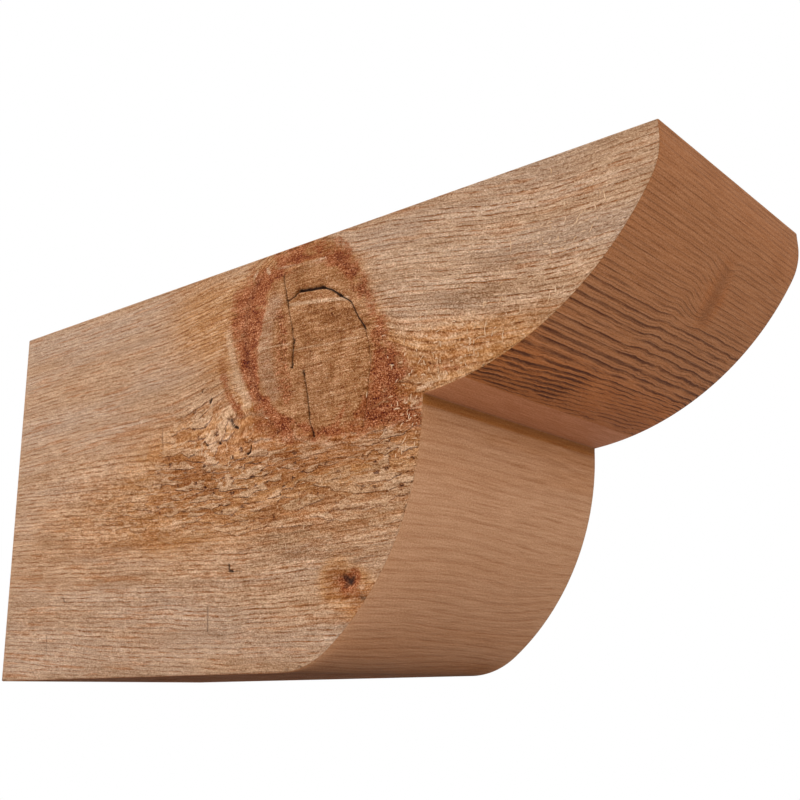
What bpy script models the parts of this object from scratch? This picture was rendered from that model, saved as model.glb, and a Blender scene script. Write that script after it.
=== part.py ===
"""Carved rafter tail: one rough-sawn cedar timber whose front end is cut to two convex curves.

Lengths are in metres. X runs along the timber towards the carved tip, Y across its width, Z up.
The origin is the middle of the timber's underside, so the underside lies on Z = 0. The back end
is the square plumb cut where the tail meets the rest of the roof framing. The front end is a nose
curve, a square notch and a second curve that runs into the underside.
"""

import math

import bmesh
import bpy
from mathutils import Vector

# The timber
LENGTH = 0.4064
WIDTH = 0.14605
HEIGHT = 0.19685
ARRIS = 0.0008

# The nose: the short plumb face under the top, the upper curve and where it reaches the notch
NOSE_FACE = 0.0067
NOSE_RADIUS = 0.0305
NOTCH_SETBACK = 0.1131
SOFFIT_SLOPE = math.radians(4.3)

# The heel: the lower curve from the notch to the flat underside
NOTCH_HEIGHT = 0.1098
HEEL_RUN = 0.0812
HEEL_RADIUS = 0.0465
HEEL_LEAN = math.radians(1.8)

# How finely a curve is faceted, the sharpest turn that still counts as smooth, and how near two
# points of the outline's loose caps have to be to count as one
FACET_ANGLE = math.radians(1.8)
SMOOTH_ANGLE = math.radians(20.0)
WELD = 0.00001

NAME = "rafter_tail"
CEDAR_COLOUR = (0.47, 0.255, 0.142, 1.0)
CEDAR_ROUGHNESS = 0.78


def clear_scene():
    """Removes whatever the open file holds."""
    for obj in list(bpy.data.objects):
        bpy.data.objects.remove(obj)


def arc(centre, radius, start, end):
    """Points of an arc from the start angle to the end angle, both ends included."""
    steps = max(2, math.ceil(abs(end - start) / FACET_ANGLE))
    angles = [start + (end - start) * i / steps for i in range(steps + 1)]
    return [centre + radius * Vector((math.cos(a), math.sin(a))) for a in angles]


def angle_of(point, centre):
    """Angle of a point seen from the centre of its circle."""
    return math.atan2(point.y - centre.y, point.x - centre.x)


def two_centred_curve(notch, inward, corner_centre, corner_radius, corner_end):
    """A large arc that starts at the notch, then a small corner arc that it runs into smoothly.

    inward is the unit direction from the notch to the large arc's centre. The large radius is the
    one that makes the two circles touch from inside, so the corner arc ends tangent to its face.
    """
    reach = corner_centre - notch
    radius = (reach.dot(reach) - corner_radius**2) / (2 * (reach.dot(inward) - corner_radius))
    centre = notch + radius * inward
    join = angle_of(corner_centre, centre)
    large = arc(centre, radius, angle_of(notch, centre), join)
    small = arc(corner_centre, corner_radius, join, corner_end)
    return large + small[1:]


def profile():
    """Outline of the timber's side, anticlockwise, with X from the back end and Y as height."""
    notch = Vector((LENGTH - NOTCH_SETBACK, NOTCH_HEIGHT))
    rise = HEIGHT - NOSE_FACE - NOTCH_HEIGHT

    nose_radius = min(NOSE_RADIUS, rise / 2, NOTCH_SETBACK / 2)
    nose_centre = Vector((LENGTH - nose_radius, HEIGHT - NOSE_FACE))
    towards_nose_centre = Vector((-math.sin(SOFFIT_SLOPE), math.cos(SOFFIT_SLOPE)))
    nose = two_centred_curve(notch, towards_nose_centre, nose_centre, nose_radius, 0.0)

    heel_radius = min(HEEL_RADIUS, NOTCH_HEIGHT / 2, HEEL_RUN / 1.5)
    heel_centre = Vector((notch.x - HEEL_RUN, heel_radius))
    towards_heel_centre = Vector((-math.cos(HEEL_LEAN), math.sin(HEEL_LEAN)))
    heel = two_centred_curve(notch, towards_heel_centre, heel_centre, heel_radius, -math.pi / 2)

    back_end = [Vector((0.0, HEIGHT)), Vector((0.0, 0.0))]
    return back_end + heel[::-1] + nose[1:] + [Vector((LENGTH, HEIGHT))]


def outline_curve(points):
    """The profile as a flat filled curve, as thick as the timber is wide and standing upright."""
    data = bpy.data.curves.new(NAME + "_outline", "CURVE")
    data.dimensions = "2D"
    data.fill_mode = "BOTH"
    data.extrude = WIDTH / 2
    spline = data.splines.new("POLY")
    spline.points.add(len(points) - 1)
    for spline_point, point in zip(spline.points, points):
        spline_point.co = (point.x - LENGTH / 2, point.y, 0.0, 1.0)
    spline.use_cyclic_u = True
    outline = bpy.data.objects.new(NAME + "_outline", data)
    outline.rotation_euler = (math.pi / 2, 0.0, 0.0)
    bpy.context.scene.collection.objects.link(outline)
    bpy.context.view_layer.update()
    return outline


def timber_from(outline, collection):
    """The outline made a closed mesh object, in place of the curve."""
    graph = bpy.context.evaluated_depsgraph_get()
    mesh = bpy.data.meshes.new_from_object(outline.evaluated_get(graph))
    mesh.name = NAME
    mesh.transform(outline.matrix_world)
    bpy.data.objects.remove(outline)
    timber = bpy.data.objects.new(NAME, mesh)
    collection.objects.link(timber)
    return timber


def ease_arrises(timber):
    """Welds the caps on and rounds the outer edges a little. The notch's inner corner stays crisp."""
    solid = bmesh.new()
    solid.from_mesh(timber.data)
    bmesh.ops.remove_doubles(solid, verts=solid.verts, dist=WELD)
    weight = solid.edges.layers.float.new("bevel_weight_edge")
    for edge in solid.edges:
        edge[weight] = float(edge.calc_face_angle_signed() > SMOOTH_ANGLE)
    solid.to_mesh(timber.data)
    solid.free()
    ease = timber.modifiers.new("arris", "BEVEL")
    ease.width = ARRIS
    ease.segments = 2
    ease.limit_method = "WEIGHT"


def cedar():
    """Rough-sawn cedar, unfinished."""
    material = bpy.data.materials.new("cedar")
    material.use_nodes = True
    shader = material.node_tree.nodes["Principled BSDF"]
    shader.inputs["Base Color"].default_value = CEDAR_COLOUR
    shader.inputs["Roughness"].default_value = CEDAR_ROUGHNESS
    shader.inputs["Metallic"].default_value = 0.0
    return material


def main():
    """Builds the rafter tail in a collection of its own."""
    clear_scene()
    collection = bpy.data.collections.new("carved_rafter_tail")
    bpy.context.scene.collection.children.link(collection)
    timber = timber_from(outline_curve(profile()), collection)
    ease_arrises(timber)
    timber.data.materials.clear()
    timber.data.materials.append(cedar())
    timber.data.shade_smooth()
    timber.data.set_sharp_from_angle(angle=SMOOTH_ANGLE)


main()
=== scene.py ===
"""A carved rafter tail of rough-sawn cedar, in a plain studio.

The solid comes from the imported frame. This scene gives it the surface of the real timber: torn grain,
a large knot with its cracks and stain, growth lines across the two curves, and sawn end grain.

Surface features are placed in millimetres: X from the back end, Y from the middle of the width and
Z from the underside. Meshes are in metres, in the frame's own axes.
"""

import logging
import math
from collections.abc import Sequence
from dataclasses import dataclass, field, replace
from enum import Enum
from functools import partial, reduce

import bpy
import numpy as np
from mathutils import Matrix, Vector
from mathutils.geometry import delaunay_2d_cdt

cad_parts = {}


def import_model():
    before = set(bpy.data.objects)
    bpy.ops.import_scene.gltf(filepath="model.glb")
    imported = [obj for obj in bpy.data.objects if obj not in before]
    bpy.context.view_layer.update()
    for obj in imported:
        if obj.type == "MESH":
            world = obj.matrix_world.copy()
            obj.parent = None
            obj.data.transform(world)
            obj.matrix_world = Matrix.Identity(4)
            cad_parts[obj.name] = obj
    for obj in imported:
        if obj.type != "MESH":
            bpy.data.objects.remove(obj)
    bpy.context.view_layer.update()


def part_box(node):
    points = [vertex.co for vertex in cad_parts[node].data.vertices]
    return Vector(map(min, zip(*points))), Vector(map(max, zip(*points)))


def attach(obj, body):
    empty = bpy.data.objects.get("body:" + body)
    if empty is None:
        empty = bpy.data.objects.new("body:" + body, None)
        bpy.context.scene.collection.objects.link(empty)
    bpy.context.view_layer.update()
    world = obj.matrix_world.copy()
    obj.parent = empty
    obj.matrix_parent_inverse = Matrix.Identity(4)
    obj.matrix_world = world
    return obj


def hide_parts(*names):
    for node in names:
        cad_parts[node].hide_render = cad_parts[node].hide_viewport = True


LOG = logging.getLogger("rafter_tail")

NODE = "rafter_tail"
BODY = "root"
MM = 0.001

Array = np.ndarray
Socket = bpy.types.NodeSocket


class Face(Enum):
    """The timber's faces. The value is the face's material slot on the mesh."""

    NEAR = 0
    FAR = 1
    TOP = 2
    BACK = 3
    UNDERSIDE = 4
    HEEL = 5
    NOSE = 6


class Paint(Enum):
    """What a stroke adds to the surface. The value is the name of its mesh attribute."""

    HALO = "halo"
    PALE = "pale"
    GREY = "grey"
    AMBER = "amber"
    DARK = "dark"


def smoothstep(low: float, high: float, value: Array) -> Array:
    """Smooth rise from 0 at low to 1 at high.

    Args:
        low: Where the rise starts.
        high: Where it ends. It may be below low, which makes a fall.
        value: Values to look up.

    Returns:
        One number from 0 to 1 for each value.
    """
    share = np.clip((value - low) / (high - low), 0.0, 1.0)
    return share * share * (3.0 - 2.0 * share)


def srgb(red: int, green: int, blue: int) -> tuple[float, float, float, float]:
    """A colour as read off a screen, made linear.

    Args:
        red: Red, from 0 to 255.
        green: Green, from 0 to 255.
        blue: Blue, from 0 to 255.

    Returns:
        Linear red, green, blue and an alpha of 1.
    """
    shares = (red / 255.0, green / 255.0, blue / 255.0)
    linear = [s / 12.92 if s <= 0.04045 else ((s + 0.055) / 1.055) ** 2.4 for s in shares]
    return (linear[0], linear[1], linear[2], 1.0)


def spaced(path: Array, step: float) -> tuple[Array, Array]:
    """Points an even distance apart along a path.

    Args:
        path: The path's (x, z) points, one in each row.
        step: Longest distance between two points. At least three points are made.

    Returns:
        The distance of each point from the path's start, and the points.
    """
    travelled = np.concatenate([[0.0], np.cumsum(np.hypot(*np.diff(path, axis=0).T))])
    length = travelled[-1]
    places = np.linspace(0.0, length, math.ceil(length / min(step, length / 2.0)) + 1)
    return places, np.stack([np.interp(places, travelled, path[:, k]) for k in (0, 1)], axis=1)


def at_width(side: Array, y: float | Array) -> Array:
    """Side places (x, z) as points (x, y, z)."""
    return np.stack([side[:, 0], np.broadcast_to(y, len(side)), side[:, 1]], axis=1)


class Grain3D:
    """Seeded gradient noise in three dimensions, from about -1 to 1."""

    def __init__(self, seed: int) -> None:
        """Draws the lattice.

        Args:
            seed: Number that fixes the pattern.
        """
        rng = np.random.default_rng(seed)
        self._order = rng.permutation(256)
        directions = rng.normal(size=(256, 3))
        self._directions = directions / np.linalg.norm(directions, axis=1)[:, None]

    def __call__(self, x: Array, y: Array, z: Array) -> Array:
        """Noise at each point.

        Args:
            x: First coordinate, in lattice cells.
            y: Second coordinate.
            z: Third coordinate.

        Returns:
            One value for each point.
        """
        point = np.stack(np.broadcast_arrays(x, y, z), axis=-1).astype(float)
        cell = np.floor(point).astype(int)
        inside = point - cell
        ease = inside**3 * (inside * (inside * 6.0 - 15.0) + 10.0)
        total = np.zeros(point.shape[:-1])
        for corner in np.ndindex(2, 2, 2):
            near = cell + corner
            key = self._order[near[..., 0] & 255]
            key = self._order[(key + near[..., 1]) & 255]
            key = self._order[(key + near[..., 2]) & 255]
            reach = (self._directions[key] * (inside - corner)).sum(axis=-1)
            share = np.where(np.array(corner) == 1, ease, 1.0 - ease).prod(axis=-1)
            total += reach * share
        return total * 1.6

    def layered(self, x: Array, y: Array, z: Array, layers: int, gain: float = 0.5) -> Array:
        """Noise with finer layers added, each twice as fine as the last.

        Args:
            x: First coordinate, in cells of the coarsest layer.
            y: Second coordinate.
            z: Third coordinate.
            layers: Number of layers.
            gain: Strength of each layer as a share of the one before.

        Returns:
            One value for each point, from about -1 to 1.
        """
        total = np.zeros(np.broadcast(x, y, z).shape)
        strength, reach = 1.0, 0.0
        for layer in range(layers):
            scale = 2.0**layer
            total = total + strength * self(x * scale, y * scale, z * scale + 17.0 * layer)
            reach += strength
            strength *= gain
        return total / reach


@dataclass(frozen=True)
class Stroke:
    """A soft line on the near side: a crack, a stain or a pale streak.

    Attributes:
        points: (x, z) places that the line passes, in millimetres.
        width: Full width of the line at half strength, in millimetres.
        paint: What it adds.
        strength: How much it adds along its middle.
        depth: How far it cuts into the surface, in millimetres.
        softness: Share of the width over which its edge fades.
    """

    points: tuple[tuple[float, float], ...]
    width: float
    paint: Paint
    strength: float = 1.0
    depth: float = 0.0
    softness: float = 0.6

    @classmethod
    def soft(
        cls, points: tuple[tuple[float, float], ...], width: float, paint: Paint, strength: float,
    ) -> "Stroke":
        """A stroke without depth that fades over nearly its whole width."""
        return cls(points, width, paint, strength, softness=0.9)

    def cover(self, x: Array, z: Array) -> Array:
        """How much of the stroke lies on each point.

        Args:
            x: Distances from the back end, in millimetres.
            z: Heights, in millimetres.

        Returns:
            1 on the stroke's middle, falling to 0 beyond its edge.
        """
        path = np.array(self.points if len(self.points) > 1 else self.points * 2, dtype=float)
        nearest = np.full(x.shape, np.inf)
        for start, end in zip(path[:-1], path[1:]):
            run = end - start
            length = max(float(run @ run), 1e-9)
            along = np.clip(((x - start[0]) * run[0] + (z - start[1]) * run[1]) / length, 0.0, 1.0)
            gap = np.hypot(x - start[0] - along * run[0], z - start[1] - along * run[1])
            nearest = np.minimum(nearest, gap)
        half = self.width / 2.0
        return smoothstep(half * (1.0 + self.softness), half * (1.0 - self.softness), nearest)


@dataclass(frozen=True)
class Knot:
    """The large branch knot on the near side.

    Attributes:
        x: Distance of its middle from the back end, in millimetres.
        z: Height of its middle, in millimetres.
        core: Radius of the branch wood in twelve directions, 30 degrees apart, from +X towards +Z.
        halo: Outer radius of the red stain round it, in the same directions.
        stain: Strength of that stain, in the same directions.
    """

    x: float = 229.4
    z: float = 144.4
    core: tuple[float, ...] = (37.2, 35.2, 38.2, 42.0, 44.5, 37.8, 36.0, 36.8, 36.0, 41.0, 46.0, 41.0)
    halo: tuple[float, ...] = (43.5, 39.5, 45.0, 51.5, 56.0, 56.5, 43.0, 41.0, 41.5, 44.5, 52.0, 56.0)
    stain: tuple[float, ...] = (0.85, 0.75, 1.15, 1.0, 1.1, 1.4, 1.35, 0.9, 0.6, 0.25, 0.45, 0.9)

    def around(self, steps: tuple[float, ...], angle: Array) -> Array:
        """A value in each direction, smoothly between the twelve given ones.

        Args:
            steps: The twelve values.
            angle: Directions, in radians.

        Returns:
            A value for each direction.
        """
        count = len(steps)
        share = np.mod(angle / (2.0 * math.pi), 1.0) * count
        step = np.floor(share).astype(int)
        part = share - step
        values = np.array(steps)
        before, here, after, beyond = (values[(step + k) % count] for k in (-1, 0, 1, 2))
        bend = 2.0 * before - 5.0 * here + 4.0 * after - beyond
        twist = 3.0 * here - before - 3.0 * after + beyond
        return here + 0.5 * part * (after - before + part * (bend + part * twist))

    def polar(self, x: Array, z: Array) -> tuple[Array, Array, Array]:
        """Where each point lies against the knot's two outlines.

        Args:
            x: Distances from the back end, in millimetres.
            z: Heights, in millimetres.

        Returns:
            The distance from the knot's middle, the core's radius there and the halo's radius there.
        """
        angle = np.arctan2(z - self.z, x - self.x)
        away = np.hypot(x - self.x, z - self.z)
        return away, self.around(self.core, angle), self.around(self.halo, angle)


@dataclass(frozen=True)
class Patch:
    """An oval part of the near side where something is stronger.

    Attributes:
        x: Distance of its middle from the back end, in millimetres.
        z: Height of its middle, in millimetres.
        across: Half its length along X, in millimetres.
        up: Half its height, in millimetres.
        strength: Its strength in the middle.
    """

    x: float
    z: float
    across: float
    up: float
    strength: float

    def cover(self, x: Array, z: Array) -> Array:
        """Strength of the patch at each point, fading smoothly outwards."""
        away = ((x - self.x) / self.across) ** 2 + ((z - self.z) / self.up) ** 2
        return self.strength * np.exp(-away)


CROWN_CRACK = (
    (214.4, 169.6), (219.4, 171.1), (221.9, 173.2), (228.9, 172.2), (237.2, 171.3), (242.8, 168.5),
    (247.8, 164.6), (253.9, 160.2), (257.8, 152.4), (262.0, 145.7),
)
FAINT_CRACK = (
    (262.0, 145.7), (263.9, 139.0), (265.0, 130.2), (263.3, 121.3), (261.7, 110.2), (259.4, 101.3),
)
UPPER_CHECK = ((211.7, 183.5), (213.1, 176.8), (214.4, 169.6))
LEFT_CRACK = ((214.6, 168.8), (217.2, 158.0), (218.7, 149.1), (218.2, 143.5), (217.6, 136.3))
LOWER_CRACK = ((224.7, 133.5), (226.7, 125.7), (228.1, 116.8), (228.9, 109.1), (231.1, 101.3))

CRACKS = (
    Stroke(CROWN_CRACK[:3], 0.8, Paint.DARK, 0.9, 1.2),
    Stroke(CROWN_CRACK[2:5], 1.5, Paint.DARK, 1.1, 1.9),
    Stroke(CROWN_CRACK[4:7], 1.1, Paint.DARK, 1.0, 1.5),
    Stroke(CROWN_CRACK[6:], 0.8, Paint.DARK, 0.85, 1.1),
    Stroke(FAINT_CRACK, 0.5, Paint.DARK, 0.45, 0.4),
    Stroke(UPPER_CHECK, 0.6, Paint.DARK, 0.75, 1.0),
    Stroke(LEFT_CRACK[:3], 0.5, Paint.DARK, 0.6, 0.8),
    Stroke(LEFT_CRACK[2:], 1.0, Paint.DARK, 1.0, 1.5),
    Stroke(LOWER_CRACK, 0.7, Paint.DARK, 0.8, 1.2),
)

LEFT_RIDGE = ((174.0, 162.0), (177.2, 150.2), (181.1, 139.1), (185.6, 130.2), (189.5, 123.5))
LEFT_RIM = ((195.0, 186.0), (188.0, 176.0), (185.5, 160.0), (190.0, 138.0), (196.0, 125.0))
CRESCENT = ((207.0, 171.0), (201.5, 162.0), (199.5, 148.0), (201.5, 136.0), (206.0, 127.0))

KNOT_STAINS = (
    Stroke(((169.4, 149.0), (173.3, 137.0), (177.8, 130.2), (184.4, 121.3)), 5.0, Paint.AMBER, 1.1),
    Stroke.soft(((170.5, 141.0), (174.5, 132.0), (179.0, 126.0), (184.4, 119.3)), 4.2, Paint.HALO, 0.75),
    Stroke(LEFT_RIDGE, 4.6, Paint.PALE, 0.9),
    Stroke.soft(((185.0, 146.0), (189.5, 136.0), (193.5, 129.0), (201.7, 122.0)), 3.0, Paint.HALO, 0.6),
    Stroke(CRESCENT, 9.5, Paint.GREY, 0.9),
    Stroke.soft(((193.5, 166.0), (189.5, 156.0), (189.0, 145.0), (192.0, 135.0)), 7.0, Paint.HALO, 0.85),
    Stroke.soft(LEFT_RIM, 6.0, Paint.DARK, 0.34),
    Stroke.soft(((246.0, 184.0), (254.0, 177.0), (260.0, 168.0)), 6.0, Paint.DARK, 0.3),
    Stroke.soft(((270.0, 141.0), (276.0, 124.0), (273.0, 112.0)), 6.0, Paint.DARK, 0.26),
    Stroke.soft(((194.0, 110.0), (206.0, 102.5), (234.0, 98.0), (262.0, 102.0)), 17.0, Paint.AMBER, 1.8),
    Stroke(((213.0, 181.0), (226.0, 183.5), (238.0, 184.5)), 3.6, Paint.PALE, 0.4),
    Stroke(((207.5, 188.1), (224.5, 186.5), (237.5, 185.8)), 1.5, Paint.PALE, 0.7),
    Stroke(((216.2, 167.4), (234.2, 165.2), (251.3, 162.3)), 1.8, Paint.PALE, 1.1),
    Stroke(((196.1, 150.2), (206.0, 149.0), (216.4, 148.2)), 1.0, Paint.PALE, 0.8),
    Stroke(((216.4, 144.6), (237.2, 143.3), (258.5, 142.4)), 1.1, Paint.PALE, 0.8),
    Stroke.soft(((210.1, 114.3), (219.9, 109.6), (233.9, 103.3), (246.0, 101.4)), 2.6, Paint.HALO, 0.6),
    Stroke(((201.0, 189.6), (201.6, 187.6)), 2.2, Paint.PALE, 1.2, softness=0.4),
    Stroke(((191.2, 187.0), (193.8, 190.4)), 1.4, Paint.PALE, 1.1, softness=0.4),
    Stroke(((290.0, 112.5), (297.5, 114.0)), 2.4, Paint.PALE, 1.0, softness=0.5),
    Stroke.soft(((209.5, 163.0), (212.0, 155.0), (210.5, 147.0)), 7.0, Paint.HALO, 0.6),
    Stroke.soft(((210.0, 141.0), (212.5, 131.0), (214.5, 122.0)), 8.0, Paint.HALO, 0.6),
    Stroke.soft(((201.0, 123.0), (206.0, 116.0), (213.0, 110.0)), 5.0, Paint.HALO, 0.6),
    Stroke.soft(((276.0, 121.0), (292.0, 121.5), (312.0, 118.0)), 3.4, Paint.HALO, 0.45),
    Stroke.soft(((264.0, 103.0), (277.0, 104.5), (292.0, 99.5)), 7.0, Paint.HALO, 0.5),
    Stroke.soft(((195.0, 113.0), (204.0, 107.5), (216.0, 104.5)), 6.0, Paint.HALO, 0.55),
    Stroke.soft(((216.0, 101.5), (230.0, 100.0), (244.0, 105.0), (252.0, 113.0)), 3.6, Paint.HALO, 0.4),
)
SMALL_KNOT_STAINS = (
    Stroke(((253.5, 38.0), (249.0, 36.0)), 6.5, Paint.HALO, 1.2, 0.5, 0.8),
    Stroke(((248.6, 38.4), (251.0, 36.6)), 3.0, Paint.DARK, 0.7, 0.3, 0.9),
    Stroke(((253.4, 38.4), (253.0, 35.6)), 2.4, Paint.DARK, 0.55, 0.2, 0.9),
    Stroke(((248.4, 34.8), (250.2, 34.2)), 1.8, Paint.DARK, 0.5, 0.2, 0.9),
    Stroke(((258.0, 29.5), (260.0, 28.5)), 3.0, Paint.DARK, 0.55, 0.3, 0.8),
    Stroke.soft(((244.0, 37.0), (252.0, 33.0), (259.0, 28.0)), 14.0, Paint.AMBER, 2.0),
    Stroke.soft(((246.0, 37.0), (256.0, 31.0)), 7.0, Paint.HALO, 0.5),
)
STAINS = KNOT_STAINS + SMALL_KNOT_STAINS

PITS = (
    Stroke(((177.0, 118.6), (178.2, 115.2)), 1.9, Paint.DARK, 0.6, 1.0),
    Stroke(((178.2, 115.2), (182.0, 113.4)), 1.5, Paint.DARK, 0.75, 1.0),
    Stroke(((162.8, 130.8), (162.0, 129.6)), 1.6, Paint.DARK, 0.8, 0.8),
    Stroke(((156.4, 136.8), (155.8, 136.0)), 1.1, Paint.DARK, 0.6, 0.6),
    Stroke(((190.8, 103.2), (190.9, 100.8), (188.6, 99.8)), 1.2, Paint.DARK, 0.8, 0.9),
    Stroke(((169.0, 108.2), (169.9, 107.6)), 1.2, Paint.DARK, 0.8, 0.7),
    Stroke(((159.6, 108.8), (160.8, 108.0)), 1.3, Paint.DARK, 0.7, 0.7),
    Stroke(((178.2, 49.2), (178.4, 46.3)), 1.0, Paint.DARK, 0.7, 0.7),
    Stroke(((178.4, 46.3), (180.6, 45.9)), 1.3, Paint.DARK, 0.75, 0.7),
    Stroke(((180.6, 45.8), (187.0, 45.4)), 0.7, Paint.DARK, 0.42, 0.4),
    Stroke(((51.8, 41.6), (52.6, 39.6)), 0.9, Paint.DARK, 0.55, 0.5),
    Stroke(((52.6, 39.6), (60.5, 38.8)), 0.7, Paint.DARK, 0.35, 0.4),
    Stroke(((164.8, 30.4), (165.1, 19.6)), 1.0, Paint.DARK, 0.5, 0.35),
    Stroke(((39.2, 22.4), (39.8, 13.6)), 0.9, Paint.DARK, 0.45, 0.35),
    Stroke(((126.8, 121.5), (127.6, 108.5)), 1.0, Paint.DARK, 0.42, 0.4),
    Stroke(((51.4, 111.6), (52.4, 109.4), (55.0, 107.8)), 0.5, Paint.DARK, 0.35, 0.3),
)

TORN_PATCHES = (
    Patch(168.0, 93.0, 52.0, 27.0, 1.0),
    Patch(85.0, 80.0, 78.0, 28.0, 0.4),
    Patch(240.0, 74.0, 58.0, 30.0, 0.65),
    Patch(160.0, 126.0, 24.0, 16.0, 0.65),
    Patch(283.0, 96.0, 18.0, 26.0, 0.9),
)
AMBER_PATCHES = (
    Patch(150.0, 100.0, 48.0, 24.0, 1.6),
    Patch(150.0, 66.0, 56.0, 16.0, 0.8),
    Patch(285.0, 104.0, 24.0, 16.0, 1.8),
    Patch(330.0, 124.0, 46.0, 12.0, 0.95),
    Patch(157.0, 174.0, 34.0, 28.0, 1.15),
    Patch(170.0, 146.0, 14.0, 20.0, 0.5),
    Patch(230.0, 88.0, 52.0, 14.0, 1.0),
    Patch(230.0, 99.0, 30.0, 9.0, 0.7),
    Patch(300.0, 130.0, 34.0, 13.0, 0.8),
    Patch(262.0, 58.0, 62.0, 34.0, 0.6),
    Patch(70.0, 82.0, 66.0, 26.0, 0.7),
    Patch(30.0, 28.0, 50.0, 10.0, 0.3),
)
RED_PATCHES = (
    Patch(274.0, 112.0, 13.0, 16.0, 0.4),
    Patch(287.0, 104.0, 15.0, 8.0, 0.4),
    Patch(284.0, 128.0, 18.0, 6.0, 0.3),
    Patch(238.0, 163.0, 18.0, 6.0, 0.3),
    Patch(224.0, 110.0, 12.0, 7.0, 0.25),
)
PALE_PATCHES = (
    Patch(294.0, 143.0, 16.0, 9.0, 0.35),
    Patch(286.0, 172.0, 26.0, 16.0, 0.4),
    Patch(240.0, 60.0, 34.0, 9.0, 0.3),
    Patch(325.0, 165.0, 50.0, 20.0, 0.4),
)
ROUGH_PATCHES = (
    Patch(320.0, 150.0, 70.0, 45.0, 0.55),
    Patch(225.0, 55.0, 95.0, 50.0, 0.4),
    Patch(165.0, 165.0, 34.0, 34.0, 0.35),
    Patch(229.0, 144.0, 44.0, 50.0, 0.25),
    Patch(75.0, 84.0, 75.0, 26.0, 0.35),
    Patch(50.0, 30.0, 90.0, 26.0, 0.2),
)
EYE = Patch(284.0, 141.0, 11.0, 7.0, 1.3)


@dataclass(frozen=True)
class Trend:
    """A value that changes along one of the two curves.

    Attributes:
        runs: Distances from the notch where it is given, in millimetres.
        values: Its value at each of them.
    """

    runs: tuple[float, ...]
    values: tuple[float, ...]

    def at(self, run: Array) -> Array:
        """The value at each distance from the notch."""
        return np.interp(run, self.runs, self.values)


NOSE_COUNT = Trend((0.0, 21.0, 49.0, 90.0, 155.0), (0.0, 5.0, 15.0, 25.5, 52.0))
NOSE_STRENGTH = Trend(
    (0.0, 20.0, 23.0, 46.0, 60.0, 84.0, 98.0, 155.0), (0.1, 0.1, 1.0, 1.0, 0.95, 0.8, 0.4, 0.28),
)
NOSE_SWAY = Trend((0.0, 30.0, 50.0, 60.0, 155.0), (0.4, 0.4, 0.2, 0.07, 0.06))
NOSE_FAR_SWAY = Trend((0.0, 50.0, 60.0, 95.0, 120.0, 155.0), (0.05, 0.09, 0.15, 0.12, 0.08, 0.05))
# Brightness along the nose curve: the wood's tone, with painted shade in the notch's crease and on the
# soffit under the nose.
NOSE_TONE_AND_SHADE = Trend(
    (0.0, 1.3, 20.0, 22.0, 40.0, 55.0, 80.0, 148.0, 155.0),
    (0.55, 0.97, 0.98, 0.87, 0.96, 1.07, 1.01, 0.96, 0.98),
)
HEEL_STRENGTH = Trend((0.0, 60.0, 100.0, 118.0, 148.0), (0.28, 0.22, 0.3, 0.36, 0.42))
# Brightness along the heel curve: the wood's tone, with painted shade in the notch's crease and at the
# curve's foot.
HEEL_TONE_AND_SHADE = Trend(
    (0.0, 2.0, 5.0, 14.0, 28.0, 36.0, 60.0, 100.0, 122.0, 141.0, 148.0),
    (0.5, 0.6, 0.84, 0.92, 0.96, 1.0, 0.98, 0.98, 0.93, 0.84, 0.6),
)


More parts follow.
